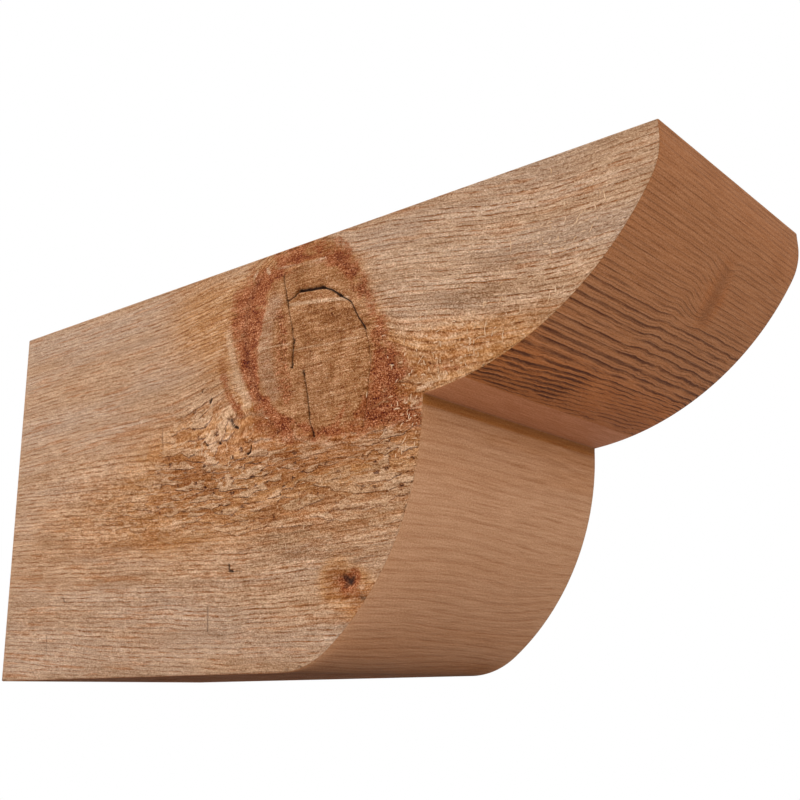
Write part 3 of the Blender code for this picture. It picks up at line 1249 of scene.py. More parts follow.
class Graph:
    """Short ways to add and join a material's nodes.

    Attributes:
        SHEEN: How much dry wood mirrors, as the shader's specular level.
        SCREEN: Power that turns a screen's shade into a linear one.
        DARKEST: The darkest colour that a nudge may give, as a screen shows it.
    """

    SHEEN = 0.15
    SCREEN = 2.2
    DARKEST = (0.06, 0.04, 0.03)

    def __init__(self, name: str) -> None:
        """Starts a material with a Principled shader.

        Args:
            name: The material's name.
        """
        self.material = bpy.data.materials.new(name)
        self.material.use_nodes = True
        self.tree = self.material.node_tree
        self.shader = self.tree.nodes["Principled BSDF"]

    def _feed(self, socket: Socket, value: object) -> None:
        """Gives a socket its value.

        Args:
            socket: The input.
            value: Another socket to link to it, or a constant to set on it.
        """
        if isinstance(value, Socket):
            self.tree.links.new(value, socket)
        else:
            socket.default_value = value

    def attribute(self, name: str, output: str = "Fac") -> Socket:
        """An attribute of the mesh.

        Args:
            name: The attribute's name.
            output: "Fac" reads it as one number and "Vector" as three.

        Returns:
            Its value.
        """
        node = self.tree.nodes.new("ShaderNodeAttribute")
        node.attribute_name = name
        return node.outputs[output]

    def grain(self) -> Socket:
        """The grain coordinates, in millimetres."""
        return self.attribute("grain", "Vector")

    def vector(self, operation: str, a: object, b: object) -> Socket:
        """A calculation on two vectors.

        Args:
            operation: Its name on the node.
            a: First vector.
            b: Second vector.

        Returns:
            The result.
        """
        node = self.tree.nodes.new("ShaderNodeVectorMath")
        node.operation = operation
        self._feed(node.inputs[0], a)
        self._feed(node.inputs[1], b)
        return node.outputs["Vector"]

    def math(self, operation: str, a: object, b: object = 0.0) -> Socket:
        """A calculation on one or two numbers.

        Args:
            operation: Its name on the node.
            a: First number.
            b: Second number.

        Returns:
            The result.
        """
        node = self.tree.nodes.new("ShaderNodeMath")
        node.operation = operation
        self._feed(node.inputs[0], a)
        self._feed(node.inputs[1], b)
        return node.outputs["Value"]

    def _noise_node(
        self, place: object, scale: tuple[float, float, float], detail: float, roughness: float,
    ) -> bpy.types.Node:
        """A noise node, stretched along the grain.

        Args:
            place: Coordinates, in millimetres.
            scale: Cells per millimetre along, across and through the grain.
            detail: Number of finer layers.
            roughness: Strength of the finer layers.

        Returns:
            The node.
        """
        node = self.tree.nodes.new("ShaderNodeTexNoise")
        self._feed(node.inputs["Vector"], self.vector("MULTIPLY", place, scale))
        node.inputs["Scale"].default_value = 1.0
        node.inputs["Detail"].default_value = detail
        node.inputs["Roughness"].default_value = roughness
        return node

    def noise(
        self, place: object, scale: tuple[float, float, float], detail: float = 3.0, roughness: float = 0.5,
    ) -> Socket:
        """A noise number around 0.5. The arguments are those of the noise node."""
        return self._noise_node(place, scale, detail, roughness).outputs["Fac"]

    def stir(self, place: object, scale: tuple[float, float, float]) -> Socket:
        """Three noise numbers, each from about -0.5 to 0.5, to move places with."""
        node = self._noise_node(place, scale, 2.0, 0.5)
        return self.vector("SUBTRACT", node.outputs["Color"], (0.5, 0.5, 0.5))

    def cells(self, place: object, scale: tuple[float, float]) -> tuple[Socket, ...]:
        """Irregular cells over a surface.

        Args:
            place: Coordinates, in millimetres.
            scale: Cells per millimetre along and across the grain.

        Returns:
            A chance number for each cell, from 0 to 1, and the distance from the cell's middle.
        """
        node = self.tree.nodes.new("ShaderNodeTexVoronoi")
        node.voronoi_dimensions = "2D"
        self._feed(node.inputs["Vector"], self.vector("MULTIPLY", place, (*scale, 0.0)))
        node.inputs["Scale"].default_value = 1.0
        return self.split(node.outputs["Color"])[0], node.outputs["Distance"]

    def rise(self, value: object, low: float, high: float, top: float = 1.0) -> Socket:
        """A smooth rise from 0.

        Args:
            value: The number to look up.
            low: Where the rise starts.
            high: Where it ends. It may be below low.
            top: What it rises to.

        Returns:
            A number from 0 to the top.
        """
        node = self.tree.nodes.new("ShaderNodeMapRange")
        node.interpolation_type = "SMOOTHSTEP"
        self._feed(node.inputs["Value"], value)
        node.inputs["From Min"].default_value = low
        node.inputs["From Max"].default_value = high
        node.inputs["To Min"].default_value = 0.0
        node.inputs["To Max"].default_value = top
        return node.outputs["Result"]

    def _between(self, kind: tuple[str, str], share: object, a: object, b: object) -> Socket:
        """Two values mixed by a share.

        Args:
            kind: The mix node's data type, and what its sockets of that type end with.
            share: 0 for the first value, 1 for the second.
            a: First value.
            b: Second value.

        Returns:
            The mixed value.
        """
        node = self.tree.nodes.new("ShaderNodeMix")
        node.data_type, ending = kind
        sockets = {s.identifier: s for s in node.inputs}
        self._feed(sockets["Factor_Float"], share)
        self._feed(sockets[f"A_{ending}"], a)
        self._feed(sockets[f"B_{ending}"], b)
        return next(s for s in node.outputs if s.identifier == f"Result_{ending}")

    def mix(self, share: object, a: object, b: object) -> Socket:
        """The first colour where the share is 0 and the second where it is 1."""
        return self._between(("RGBA", "Color"), share, a, b)

    def choose(self, share: object, a: object, b: object) -> Socket:
        """The first place where the share is 0 and the second where it is 1."""
        return self._between(("VECTOR", "Vector"), share, a, b)

    def total(self, *values: object) -> Socket:
        """The sum of some numbers."""
        return reduce(partial(self.math, "ADD"), values)

    def product(self, *values: object) -> Socket:
        """The product of some numbers."""
        return reduce(partial(self.math, "MULTIPLY"), values)

    def swing(self, value: object, reach: object) -> Socket:
        """A noise value moved to swing round 0.

        Args:
            value: A number around 0.5.
            reach: How much a change of 1 becomes.

        Returns:
            A number around 0.
        """
        return self.math("MULTIPLY", self.math("SUBTRACT", value, 0.5), reach)

    def split(self, place: object) -> tuple[Socket, ...]:
        """The parts of a vector.

        Args:
            place: The vector.

        Returns:
            Its three numbers.
        """
        node = self.tree.nodes.new("ShaderNodeSeparateXYZ")
        self._feed(node.inputs["Vector"], place)
        return tuple(node.outputs)

    def plain(self) -> Socket:
        """The object's own coordinates, in millimetres."""
        node = self.tree.nodes.new("ShaderNodeTexCoord")
        return self.vector("MULTIPLY", node.outputs["Object"], (1000.0, 1000.0, 1000.0))

    def growth(self, count: object, start: float, peak: float) -> Socket:
        """The dark late wood of each growth ring: a slow rise and a quick fall.

        Args:
            count: Number of rings passed.
            start: Share of a ring where the late wood starts.
            peak: Share of a ring where it is darkest.

        Returns:
            0 in the early wood, 1 in the darkest late wood.
        """
        part = self.math("FRACT", count)
        return self.product(self.rise(part, start, peak), self.rise(part, 1.0, 0.5 + 0.5 * peak))

    def _gamma(self, colour: object, power: float) -> Socket:
        """A colour raised to a power.

        Args:
            colour: The colour.
            power: The power for each of its parts.

        Returns:
            The new colour.
        """
        node = self.tree.nodes.new("ShaderNodeGamma")
        self._feed(node.inputs["Color"], colour)
        node.inputs["Gamma"].default_value = power
        return node.outputs["Color"]

    def nudge(self, colour: object, change: object) -> Socket:
        """A colour made lighter or darker by an even step on the screen.

        Args:
            colour: The colour.
            change: The step, as a share of the range from black to white.

        Returns:
            The moved colour.
        """
        moved = self.vector("ADD", self._gamma(colour, 1.0 / self.SCREEN), change)
        return self._gamma(self.vector("MAXIMUM", moved, self.DARKEST), self.SCREEN)

    def brightness(self, colour: object, gain: object) -> Socket:
        """A colour made lighter or darker by a factor.

        Args:
            colour: The colour.
            gain: The factor.

        Returns:
            The new colour.
        """
        node = self.tree.nodes.new("ShaderNodeVectorMath")
        node.operation = "SCALE"
        self._feed(node.inputs[0], colour)
        self._feed(node.inputs["Scale"], gain)
        return node.outputs["Vector"]

    def finish(
        self, colour: object, roughness: object, height: object, strength: float, reach: float,
    ) -> None:
        """Joins colour, roughness and bump to the shader.

        Args:
            colour: Base colour.
            roughness: Roughness.
            height: Bump height, from 0 to 1.
            strength: Strength of the bump.
            reach: Height of the bump, in metres.
        """
        self._feed(self.shader.inputs["Base Color"], colour)
        self._feed(self.shader.inputs["Roughness"], roughness)
        bump = self.tree.nodes.new("ShaderNodeBump")
        bump.inputs["Strength"].default_value = strength
        bump.inputs["Distance"].default_value = reach
        self._feed(bump.inputs["Height"], height)
        self.tree.links.new(bump.outputs["Normal"], self.shader.inputs["Normal"])
        self.shader.inputs["Specular IOR Level"].default_value = self.SHEEN


class SawnGraph(Graph):
    """A sawn face's material, with the attributes and the noises that its layers share."""

    def __init__(self, name: str) -> None:
        """Reads the attributes and adds the noises.

        Args:
            name: The material's name.
        """
        super().__init__(name)
        self.knot, self.halo = self.attribute("knot"), self.attribute(Paint.HALO.value)
        self.torn, self.flake = self.attribute("torn"), self.attribute("flake")
        self.rough = self.attribute("rough")
        self.along, self.body = self.grain(), self.plain()
        self.branch = self.math("MAXIMUM", self.knot, self.halo)
        ragged = self.swing(self.noise(self.body, (0.3, 0.3, 0.3), 2.0), 0.6)
        inside = self.math("GREATER_THAN", self.total(self.branch, ragged), 0.5)
        place = self.choose(inside, self.along, self.body)
        self.broad = self.noise(self.along, (0.02, 0.16, 0.1), 2.0, 0.6)
        self.bundle = self.noise(place, (0.03, 0.45, 0.5), 3.0, 0.6)
        self.fibre = self.noise(place, (0.13, 1.15, 1.2), 3.0, 0.7)
        self.dash = self.noise(place, (0.22, 1.0, 1.2), 2.0, 0.6)
        self.fuzz = self.noise(place, (1.05, 1.7, 1.7), 2.0, 0.8)
        self.hair = self.noise(self.vector("ADD", place, (9.0, 31.0, 5.0)), (0.3, 1.5, 1.9), 2.0, 0.6)
        self.dust = self.noise(self.body, (1.4, 1.4, 1.3), 2.0, 0.8)
        self.blot = self.noise(self.body, (0.16, 0.13, 0.13), 3.0, 0.65)
        self.rub = self.noise(self.body, (0.03, 0.7, 0.85), 3.0, 0.7)


@dataclass(frozen=True)
class SawnFinish:
    """Rough-sawn cedar, as on the two sides, the top and the underside.

    Attributes:
        name: The material's name.
        tan: Main colour of the wood.
        pink: Its cooler, paler parts.
        line: Growth lines and deep fibres.
        amber: The warmer, resin-stained wood.
        valley: Torn valleys, where it is partly painted shade, and dark streaks and the rims of pits.
        halo: Stain round the knot.
        core: The knot's own wood.
        grey: The knot's dull outer wood.
        crack: Cracks.
        pit: Painted shade inside small pits in the torn grain, also used for the painted shadow below the
            torn flakes' edges.
        pale: Raised fibres and pale wood; on the torn flakes' backs it is partly painted light.
        contrast: Strength of the fibres' streaks and of the rough surface's painted light and shade.
        ring: Distance between two growth lines, in millimetres.
        FLAKES: Torn flakes per millimetre, along and across the grain.
        HOLES: Places for a pit per millimetre, along and across the grain.
    """

    name: str
    tan: tuple[float, ...] = srgb(186, 145, 111)
    pink: tuple[float, ...] = srgb(189, 156, 130)
    line: tuple[float, ...] = srgb(142, 85, 40)
    amber: tuple[float, ...] = srgb(187, 128, 74)
    valley: tuple[float, ...] = srgb(158, 94, 42)
    halo: tuple[float, ...] = srgb(144, 71, 26)
    core: tuple[float, ...] = srgb(163, 110, 66)
    grey: tuple[float, ...] = srgb(166, 124, 92)
    crack: tuple[float, ...] = srgb(44, 24, 16)
    pit: tuple[float, ...] = srgb(76, 36, 22)
    pale: tuple[float, ...] = srgb(208, 168, 132)
    contrast: float = 1.0
    ring: float = 2.15

    FLAKES = (0.095, 0.44)
    HOLES = (0.15, 0.24)

    def material(self) -> bpy.types.Material:
        """Builds the node material, from the plain wood to the cracks.

        Returns:
            The material.
        """
        g = SawnGraph(self.name)
        colour, flaked = self._torn(g, self._ground(g))
        colour, pit = self._pitted(g, colour)
        colour, late = self._ringed(g, colour)
        colour = self._stained(g, self._knotted(g, colour))
        colour = self._shaded(g, self._fibred(g, colour))
        height = g.total(
            g.product(g.fibre, 0.9), g.product(g.fuzz, 0.6), g.product(g.bundle, 0.5),
            g.product(late, -0.3), g.product(pit, -0.6), flaked,
        )
        g.finish(colour, 0.82, height, 1.0, 0.0009)
        return g.material

    def _ground(self, g: SawnGraph) -> Socket:
        """The plain wood, with its amber parts and dark streaks.

        Args:
            g: The material's nodes.

        Returns:
            The colour.
        """
        tone = g.noise(g.along, (0.008, 0.06, 0.03), 3.0)
        colour = g.mix(g.rise(tone, 0.35, 0.65), self.tan, self.pink)
        stain = g.attribute(Paint.AMBER.value)
        amber = g.total(stain, g.swing(g.bundle, 0.9), g.product(g.swing(g.dust, 1.2), stain))
        colour = g.mix(g.rise(amber, 0.0, 1.2, 0.95), colour, self.amber)
        colour = g.mix(g.rise(amber, 1.15, 2.0, 0.9), colour, self.valley)
        streak = g.product(g.rise(g.bundle, 0.54, 0.66, 0.6), g.rise(g.branch, 0.6, 0.2))
        return g.mix(streak, colour, self.valley)

    def _torn(self, g: SawnGraph, colour: Socket) -> tuple[Socket, Socket]:
        """Torn flakes: valleys painted darker and backs paler, partly the torn wood's own colour and partly
        painted shade and light, with a painted shadow just below each flake's edge.

        Args:
            g: The material's nodes.
            colour: The colour so far.

        Returns:
            The new colour, and the flakes' share of the bump.
        """
        stir = g.vector("MULTIPLY", g.stir(g.along, (0.25, 0.7, 0.3)), (4.0, 1.5, 0.0))
        stirred = g.vector("ADD", g.along, stir)
        here, _ = g.cells(stirred, self.FLAKES)
        # The cell a little up and to the left: where it stands higher than this one, a painted shadow falls
        # below the flake's edge.
        upper, _ = g.cells(g.vector("ADD", stirred, (-0.2, 0.42, 0.0)), self.FLAKES)
        step = g.rise(g.math("SUBTRACT", upper, here), 0.1, 0.22, 0.85)
        flake_shadow_edge = g.product(g.torn, step, g.rise(g.broad, 0.34, 0.46))
        level = g.total(g.product(here, 0.65), g.product(g.flake, 0.35))
        # Painted shade deepens the valleys and painted light brightens the flakes' backs, over the torn
        # wood's own colours.
        colour = g.mix(g.product(g.torn, g.rise(level, 0.44, 0.3, 0.75)), colour, self.valley)
        colour = g.mix(g.product(g.torn, g.rise(level, 0.56, 0.66, 0.7)), colour, self.pale)
        height = g.total(g.product(level, g.torn, 0.7), g.product(flake_shadow_edge, -0.3))
        # The painted shadow under the flakes' edges takes the dark pit colour.
        return g.mix(flake_shadow_edge, colour, self.pit), height

    def _pitted(self, g: SawnGraph, colour: Socket) -> tuple[Socket, Socket]:
        """Small pits where the grain is most torn, painted dark as the shade inside them.

        Args:
            g: The material's nodes.
            colour: The colour so far.

        Returns:
            The new colour, and 1 in each pit.
        """
        luck, off = g.cells(g.along, self.HOLES)
        hole = g.product(g.rise(luck, 0.7, 0.76), g.rise(g.torn, 0.45, 0.85))
        reach = g.total(off, g.swing(g.dust, 0.5), g.swing(g.dash, 0.9))
        colour = g.mix(g.product(hole, g.rise(reach, 0.36, 0.12, 0.8)), colour, self.valley)
        pit = g.product(hole, g.rise(reach, 0.16, 0.04))
        # The pits' dark colour is painted shade.
        return g.mix(g.product(pit, 0.85), colour, self.pit), pit

    def _ringed(self, g: SawnGraph, colour: Socket) -> tuple[Socket, Socket]:
        """Growth lines, broken here and there, and faint on the knot and where the grain is torn.

        Args:
            g: The material's nodes.
            colour: The colour so far.

        Returns:
            The new colour, and the strength of the dark lines.
        """
        sway = g.noise(g.along, (0.02, 0.12, 0.02), 3.0, 0.55)
        count = g.total(g.product(g.split(g.along)[1], 1.0 / self.ring), g.swing(sway, 1.3))
        broken = g.noise(g.along, (0.15, 0.5, 0.1), 3.0, 0.75)
        calm = g.math("SUBTRACT", 1.0, g.math("MAXIMUM", g.knot, g.product(g.torn, 0.6)))
        calm = g.product(calm, g.rough, g.total(0.45, g.rise(g.broad, 0.36, 0.56, 0.6)))
        late = g.product(g.growth(count, 0.45, 0.85), g.rise(broken, 0.36, 0.62, 0.85), calm)
        early = g.product(g.growth(count, 0.02, 0.3), g.rise(broken, 0.62, 0.35, 0.4), calm)
        return g.mix(early, g.mix(late, colour, self.line), self.pale), late

    def _knotted(self, g: SawnGraph, colour: Socket) -> Socket:
        """The knot's own wood, its dull outer part and its red speckle.

        Args:
            g: The material's nodes.
            colour: The colour so far.

        Returns:
            The new colour.
        """
        colour = g.mix(g.product(g.knot, 0.9), colour, self.core)
        dull = g.product(g.attribute(Paint.GREY.value), g.total(0.35, g.rise(g.rub, 0.35, 0.6, 0.6)))
        colour = g.mix(dull, colour, self.grey)
        speckle = g.noise(g.body, (0.5, 1.0, 0.9), 3.0, 0.8)
        return g.mix(g.product(g.knot, g.rise(speckle, 0.5, 0.66, 0.6)), colour, self.halo)

    def _stained(self, g: SawnGraph, colour: Socket) -> Socket:
        """The red stain round the knot, and the pale streaks.

        Args:
            g: The material's nodes.
            colour: The colour so far.

        Returns:
            The new colour.
        """
        uneven = g.total(g.swing(g.dust, 2.0), g.swing(g.dash, 1.8), g.swing(g.blot, 2.2))
        red = g.total(g.halo, g.product(uneven, g.rise(g.halo, 0.05, 0.4)))
        share = g.product(g.rise(red, 0.1, 1.1, 0.95), g.rise(g.halo, 0.0, 0.25))
        colour = g.mix(share, colour, self.halo)
        pale = g.total(g.attribute(Paint.PALE.value), g.swing(g.dash, 1.2))
        return g.mix(g.rise(pale, 0.15, 1.1, 0.6), colour, self.pale)

    def _fibred(self, g: SawnGraph, colour: Socket) -> Socket:
        """Dark scratches and pale hairs along the fibres.

        Args:
            g: The material's nodes.
            colour: The colour so far.

        Returns:
            The new colour.
        """
        scratch = g.product(g.rise(g.dash, 0.56, 0.7, 0.55), g.total(0.45, g.product(g.torn, 0.6)))
        whisker = g.product(g.rise(g.hair, 0.6, 0.72, 0.5), g.math("SUBTRACT", 1.0, g.halo))
        colour = g.mix(g.product(scratch, g.rough), colour, self.line)
        return g.mix(g.product(whisker, g.rough), colour, self.pale)

    def _shaded(self, g: SawnGraph, colour: Socket) -> Socket:
        """Light and shade of the rough surface, and the cracks over it.

        Args:
            g: The material's nodes.
            colour: The colour so far.

        Returns:
            The new colour.
        """
        grid = g.noise(g.body, (0.8, 0.05, 0.03), 2.0, 0.6)
        cross = g.total(g.swing(g.rub, 0.34), g.swing(grid, 0.1))
        dusty = g.total(0.18, g.product(g.math("MINIMUM", g.halo, 1.0), 0.9), g.product(g.knot, 0.3))
        speck = g.total(g.swing(g.fuzz, 0.64), g.swing(g.dust, dusty))
        wood = g.total(g.swing(g.broad, 0.22), g.swing(g.bundle, 0.15), g.swing(g.fibre, 0.3))
        blotchy = g.product(g.branch, g.swing(g.blot, 0.3))
        shade = g.total(wood, speck, g.product(g.knot, cross), blotchy)
        colour = g.nudge(colour, g.product(shade, g.rough, self.contrast))
        return g.mix(g.rise(g.attribute(Paint.DARK.value), 0.15, 0.8, 0.95), colour, self.crack)


@dataclass(frozen=True)
class CurveFinish:
    """Band-sawn cedar across the growth rings, as on the nose and the heel.

    Attributes:
        name: The material's name.
        light: The wood between two growth lines.
        deep: Its darker, redder parts, and the colour that painted shade turns the wood to.
        line: The growth lines.
        deepest: Distance from the notch up to which the wood is darkest and reddest, in millimetres. On the
            heel this strip is painted shade in the notch's crease.
        strip: The smooth strip beside the notch.
        strip_width: Width of that strip, in millimetres. 0 means none.
    """

    name: str
    light: tuple[float, ...]
    deep: tuple[float, ...]
    line: tuple[float, ...]
    deepest: float
    strip: tuple[float, ...] = srgb(173, 112, 75)
    strip_width: float = 0.0

    def material(self) -> bpy.types.Material:
        """Builds the node material.

        Returns:
            The material.
        """
        g = Graph(self.name)
        curve = g.attribute("curve", "Vector")
        run, _, count = g.split(curve)
        # The line attribute's third part is the wood's tone with painted shade: darker in the notch's
        # crease, on the nose's soffit and at the heel's foot.
        strength, waver, tone = g.split(g.attribute("line", "Vector"))
        place = g.vector("MULTIPLY", curve, (1.0, 1.0, 0.0))
        stain = g.noise(place, (0.05, 0.006, 0.02), 2.0)
        sway = g.noise(place, (0.06, 0.07, 0.0), 3.0, 0.6)
        count = g.total(count, g.product(g.swing(sway, 3.6), waver))
        broken = g.noise(place, (0.3, 0.03, 0.0), 3.0, 0.7)
        thin, broad = g.growth(count, 0.5, 0.86), g.growth(count, 0.2, 0.75)
        banded = g.rise(strength, 0.9, 1.0)
        growth = g.total(g.product(thin, g.math("SUBTRACT", 1.0, banded)), g.product(broad, banded))
        growth = g.product(growth, g.rise(broken, 0.25, 0.6), strength)
        fine = g.growth(g.total(g.product(count, 2.6), g.swing(sway, 0.6)), 0.45, 0.9)
        speck = g.noise(place, (1.5, 1.1, 0.0), 3.0, 0.8)
        saw = g.noise(place, (0.9, 0.05, 0.0), 2.0, 0.7)
        near = g.rise(run, self.deepest * 2.6, self.deepest)
        # Where the tone is low, partly from painted shade, the wood also turns towards the deep colour.
        dim = g.math("MINIMUM", g.product(g.math("SUBTRACT", 1.0, tone), 4.0), 0.45)
        shaded = g.total(g.swing(stain, 0.9), dim, near)
        colour = g.mix(g.rise(shaded, 0.0, 1.0), self.light, self.deep)
        colour = g.mix(g.product(fine, g.rise(broken, 0.3, 0.65), strength, 0.85), colour, self.line)
        colour = g.mix(growth, colour, self.line)
        rubbed = g.math("LESS_THAN", run, self.strip_width)
        colour = g.mix(g.product(rubbed, 0.85), colour, self.strip)
        # The tone, painted shade among it, darkens the colour.
        colour = g.brightness(g.nudge(colour, g.total(g.swing(speck, 0.44), g.swing(saw, 0.18))), tone)
        sawn = g.total(g.product(saw, 0.5), g.product(growth, -1.0))
        relief = g.product(g.math("SUBTRACT", 1.0, rubbed), sawn)
        g.finish(colour, 0.72, g.total(relief, g.product(speck, 0.35)), 0.7, 0.0006)
        return g.material


@dataclass(frozen=True)
class EndGrainFinish:
    """The sawn end of the timber, with its rings.

    Attributes:
        name: The material's name.
        light: Early wood.
        warm: Early wood in the redder parts.
        dark: Late wood.
        ring: Distance between two growth rings, in millimetres.
    """

    name: str
    light: tuple[float, ...] = srgb(174, 132, 98)
    warm: tuple[float, ...] = srgb(169, 122, 86)
    dark: tuple[float, ...] = srgb(118, 76, 48)
    ring: float = 2.6

    def material(self) -> bpy.types.Material:
        """Builds the node material.

        Returns:
            The material.
        """
        g = Graph(self.name)
        place = g.grain()
        sway = g.noise(place, (0.004, 0.035, 0.008), 3.0, 0.5)
        count = g.total(g.product(g.split(place)[1], 1.0 / self.ring), g.swing(sway, 12.0))
        growth = g.growth(count, 0.35, 0.85)
        pores = g.noise(place, (0.3, 1.8, 1.8), 3.0, 0.75)
        patch = g.noise(place, (0.01, 0.04, 0.04), 2.0, 0.5)
        saw = g.noise(place, (0.1, 0.06, 0.8), 2.0, 0.6)
        colour = g.mix(g.rise(patch, 0.3, 0.7), self.light, self.warm)
        colour = g.mix(g.product(growth, 0.7), colour, self.dark)
        colour = g.nudge(colour, g.total(g.swing(pores, 0.3), g.swing(saw, 0.1)))
        height = g.total(g.product(pores, 0.7), g.product(growth, 0.3), g.product(saw, 0.6))
        g.finish(colour, 0.88, height, 0.8, 0.0006)
        return g.material


@dataclass(frozen=True)
class Lamp:
    """A square light that faces the timber.

    Attributes:
        name: The light's name.
        place: Its place, in metres.
        size: Length of its side, in metres.
        watts: Its power.
        aim: The place that it faces, in metres.
    """

    name: str
    place: tuple[float, float, float]
    size: float
    watts: float
    aim: tuple[float, float, float] = (0.0, 0.0, 0.1)

    def build(self) -> None:
        """Adds the light."""
        data = bpy.data.lights.new(self.name, "AREA")
        data.energy = self.watts
        data.size = self.size
        light = bpy.data.objects.new(self.name, data)
        light.location = self.place
        heading = Vector(self.aim) - Vector(self.place)
        light.rotation_euler = heading.to_track_quat("-Z", "Y").to_euler()
        bpy.context.scene.collection.objects.link(light)


@dataclass(frozen=True)
class Studio:
    """Camera, lights, floor and surroundings.

    Attributes:
        lamps: A soft key light from the left, high up, and a weak fill from the right.
        camera_place: The camera's place, in metres.
        camera_yaw: Turn from +Y towards +X, in degrees.
        camera_pitch: Tilt above the horizon, in degrees.
        camera_roll: Roll, in degrees.
        lens: Focal length for a 36 mm wide picture, in millimetres.
        shift: Sideways and upward shift of the picture, as a share of its width.
        floor_size: Side of the floor, in metres.
        floor_gap: Distance of the floor under the timber, in metres.
        floor_colour: Colour of the floor.
        floor_glow: Share of the light that comes up through the floor.
        sky: Brightness of the surroundings as a light.
    """

    lamps: tuple[Lamp, ...] = (
        Lamp("key", (-1.6, -1.0, 1.7), 0.9, 42.0),
        Lamp("fill", (1.7, -0.5, 0.4), 1.4, 14.0),
    )
    camera_place: tuple[float, float, float] = (0.3556, -0.4322, -0.0107)
    camera_yaw: float = -40.367
    camera_pitch: float = 17.423
    camera_roll: float = -0.524
    lens: float = 50.05
    shift: tuple[float, float] = (0.0625, -0.0625)
    floor_size: float = 6.0
    floor_gap: float = 0.0004
    floor_colour: tuple[float, ...] = (0.8, 0.8, 0.8, 1.0)
    floor_glow: float = 0.34
    sky: float = 0.64

    def place_camera(self) -> None:
        """Adds the camera and makes it the scene's own."""
        data = bpy.data.cameras.new("camera")
        data.lens = self.lens
        data.sensor_width = 36.0
        data.shift_x, data.shift_y = self.shift
        data.clip_start = 0.01
        camera = bpy.data.objects.new("camera", data)
        turn = Matrix.Rotation(math.radians(-self.camera_yaw), 4, "Z")
        tilt = Matrix.Rotation(math.radians(90.0 + self.camera_pitch), 4, "X")
        roll = Matrix.Rotation(math.radians(self.camera_roll), 4, "Z")
        camera.matrix_world = Matrix.Translation(self.camera_place) @ turn @ tilt @ roll
        bpy.context.scene.collection.objects.link(camera)
        bpy.context.scene.camera = camera

    def place_world(self) -> None:
        """Adds white surroundings, dimmer as a light than as a backdrop."""
        world = bpy.data.worlds.new("studio")
        world.use_nodes = True
        bpy.context.scene.world = world
        tree = world.node_tree
        background = tree.nodes["Background"]
        background.inputs["Color"].default_value = (1.0, 1.0, 1.0, 1.0)
        path = tree.nodes.new("ShaderNodeLightPath")
        level = tree.nodes.new("ShaderNodeMapRange")
        level.inputs["To Min"].default_value = self.sky
        level.inputs["To Max"].default_value = 1.0
        tree.links.new(path.outputs["Is Camera Ray"], level.inputs["Value"])
        tree.links.new(level.outputs["Result"], background.inputs["Strength"])
        bpy.context.scene.view_settings.view_transform = "Standard"

    def place_floor(self) -> None:
        """Adds the pale floor under the timber. Seen from below it is clear."""
        half = self.floor_size / 2.0
        mesh = bpy.data.meshes.new("floor")
        corners = [(-half, -half, 0.0), (half, -half, 0.0), (half, half, 0.0), (-half, half, 0.0)]
        mesh.from_pydata(corners, [], [(0, 1, 2, 3)])
        floor = bpy.data.objects.new("floor", mesh)
        floor.location.z = -self.floor_gap
        material = bpy.data.materials.new("pale_floor")
        material.use_nodes = True
        tree = material.node_tree
        shader = tree.nodes["Principled BSDF"]
        shader.inputs["Base Color"].default_value = self.floor_colour
        shader.inputs["Roughness"].default_value = 0.9
        clear = tree.nodes.new("ShaderNodeBsdfTransparent")
        side = tree.nodes.new("ShaderNodeNewGeometry")
        choice = tree.nodes.new("ShaderNodeMixShader")
        share = tree.nodes.new("ShaderNodeMath")
        share.operation = "MAXIMUM"
        share.inputs[1].default_value = self.floor_glow
        tree.links.new(side.outputs["Backfacing"], share.inputs[0])
        tree.links.new(share.outputs["Value"], choice.inputs["Fac"])
        tree.links.new(shader.outputs["BSDF"], choice.inputs[1])
        tree.links.new(clear.outputs["BSDF"], choice.inputs[2])
        tree.links.new(choice.outputs["Shader"], tree.nodes["Material Output"].inputs["Surface"])
        mesh.materials.append(material)
        bpy.context.scene.collection.objects.link(floor)

    def build(self) -> None:
        """Adds everything round the timber."""
        self.place_camera()
        for lamp in self.lamps:
            lamp.build()
        self.place_world()
        self.place_floor()


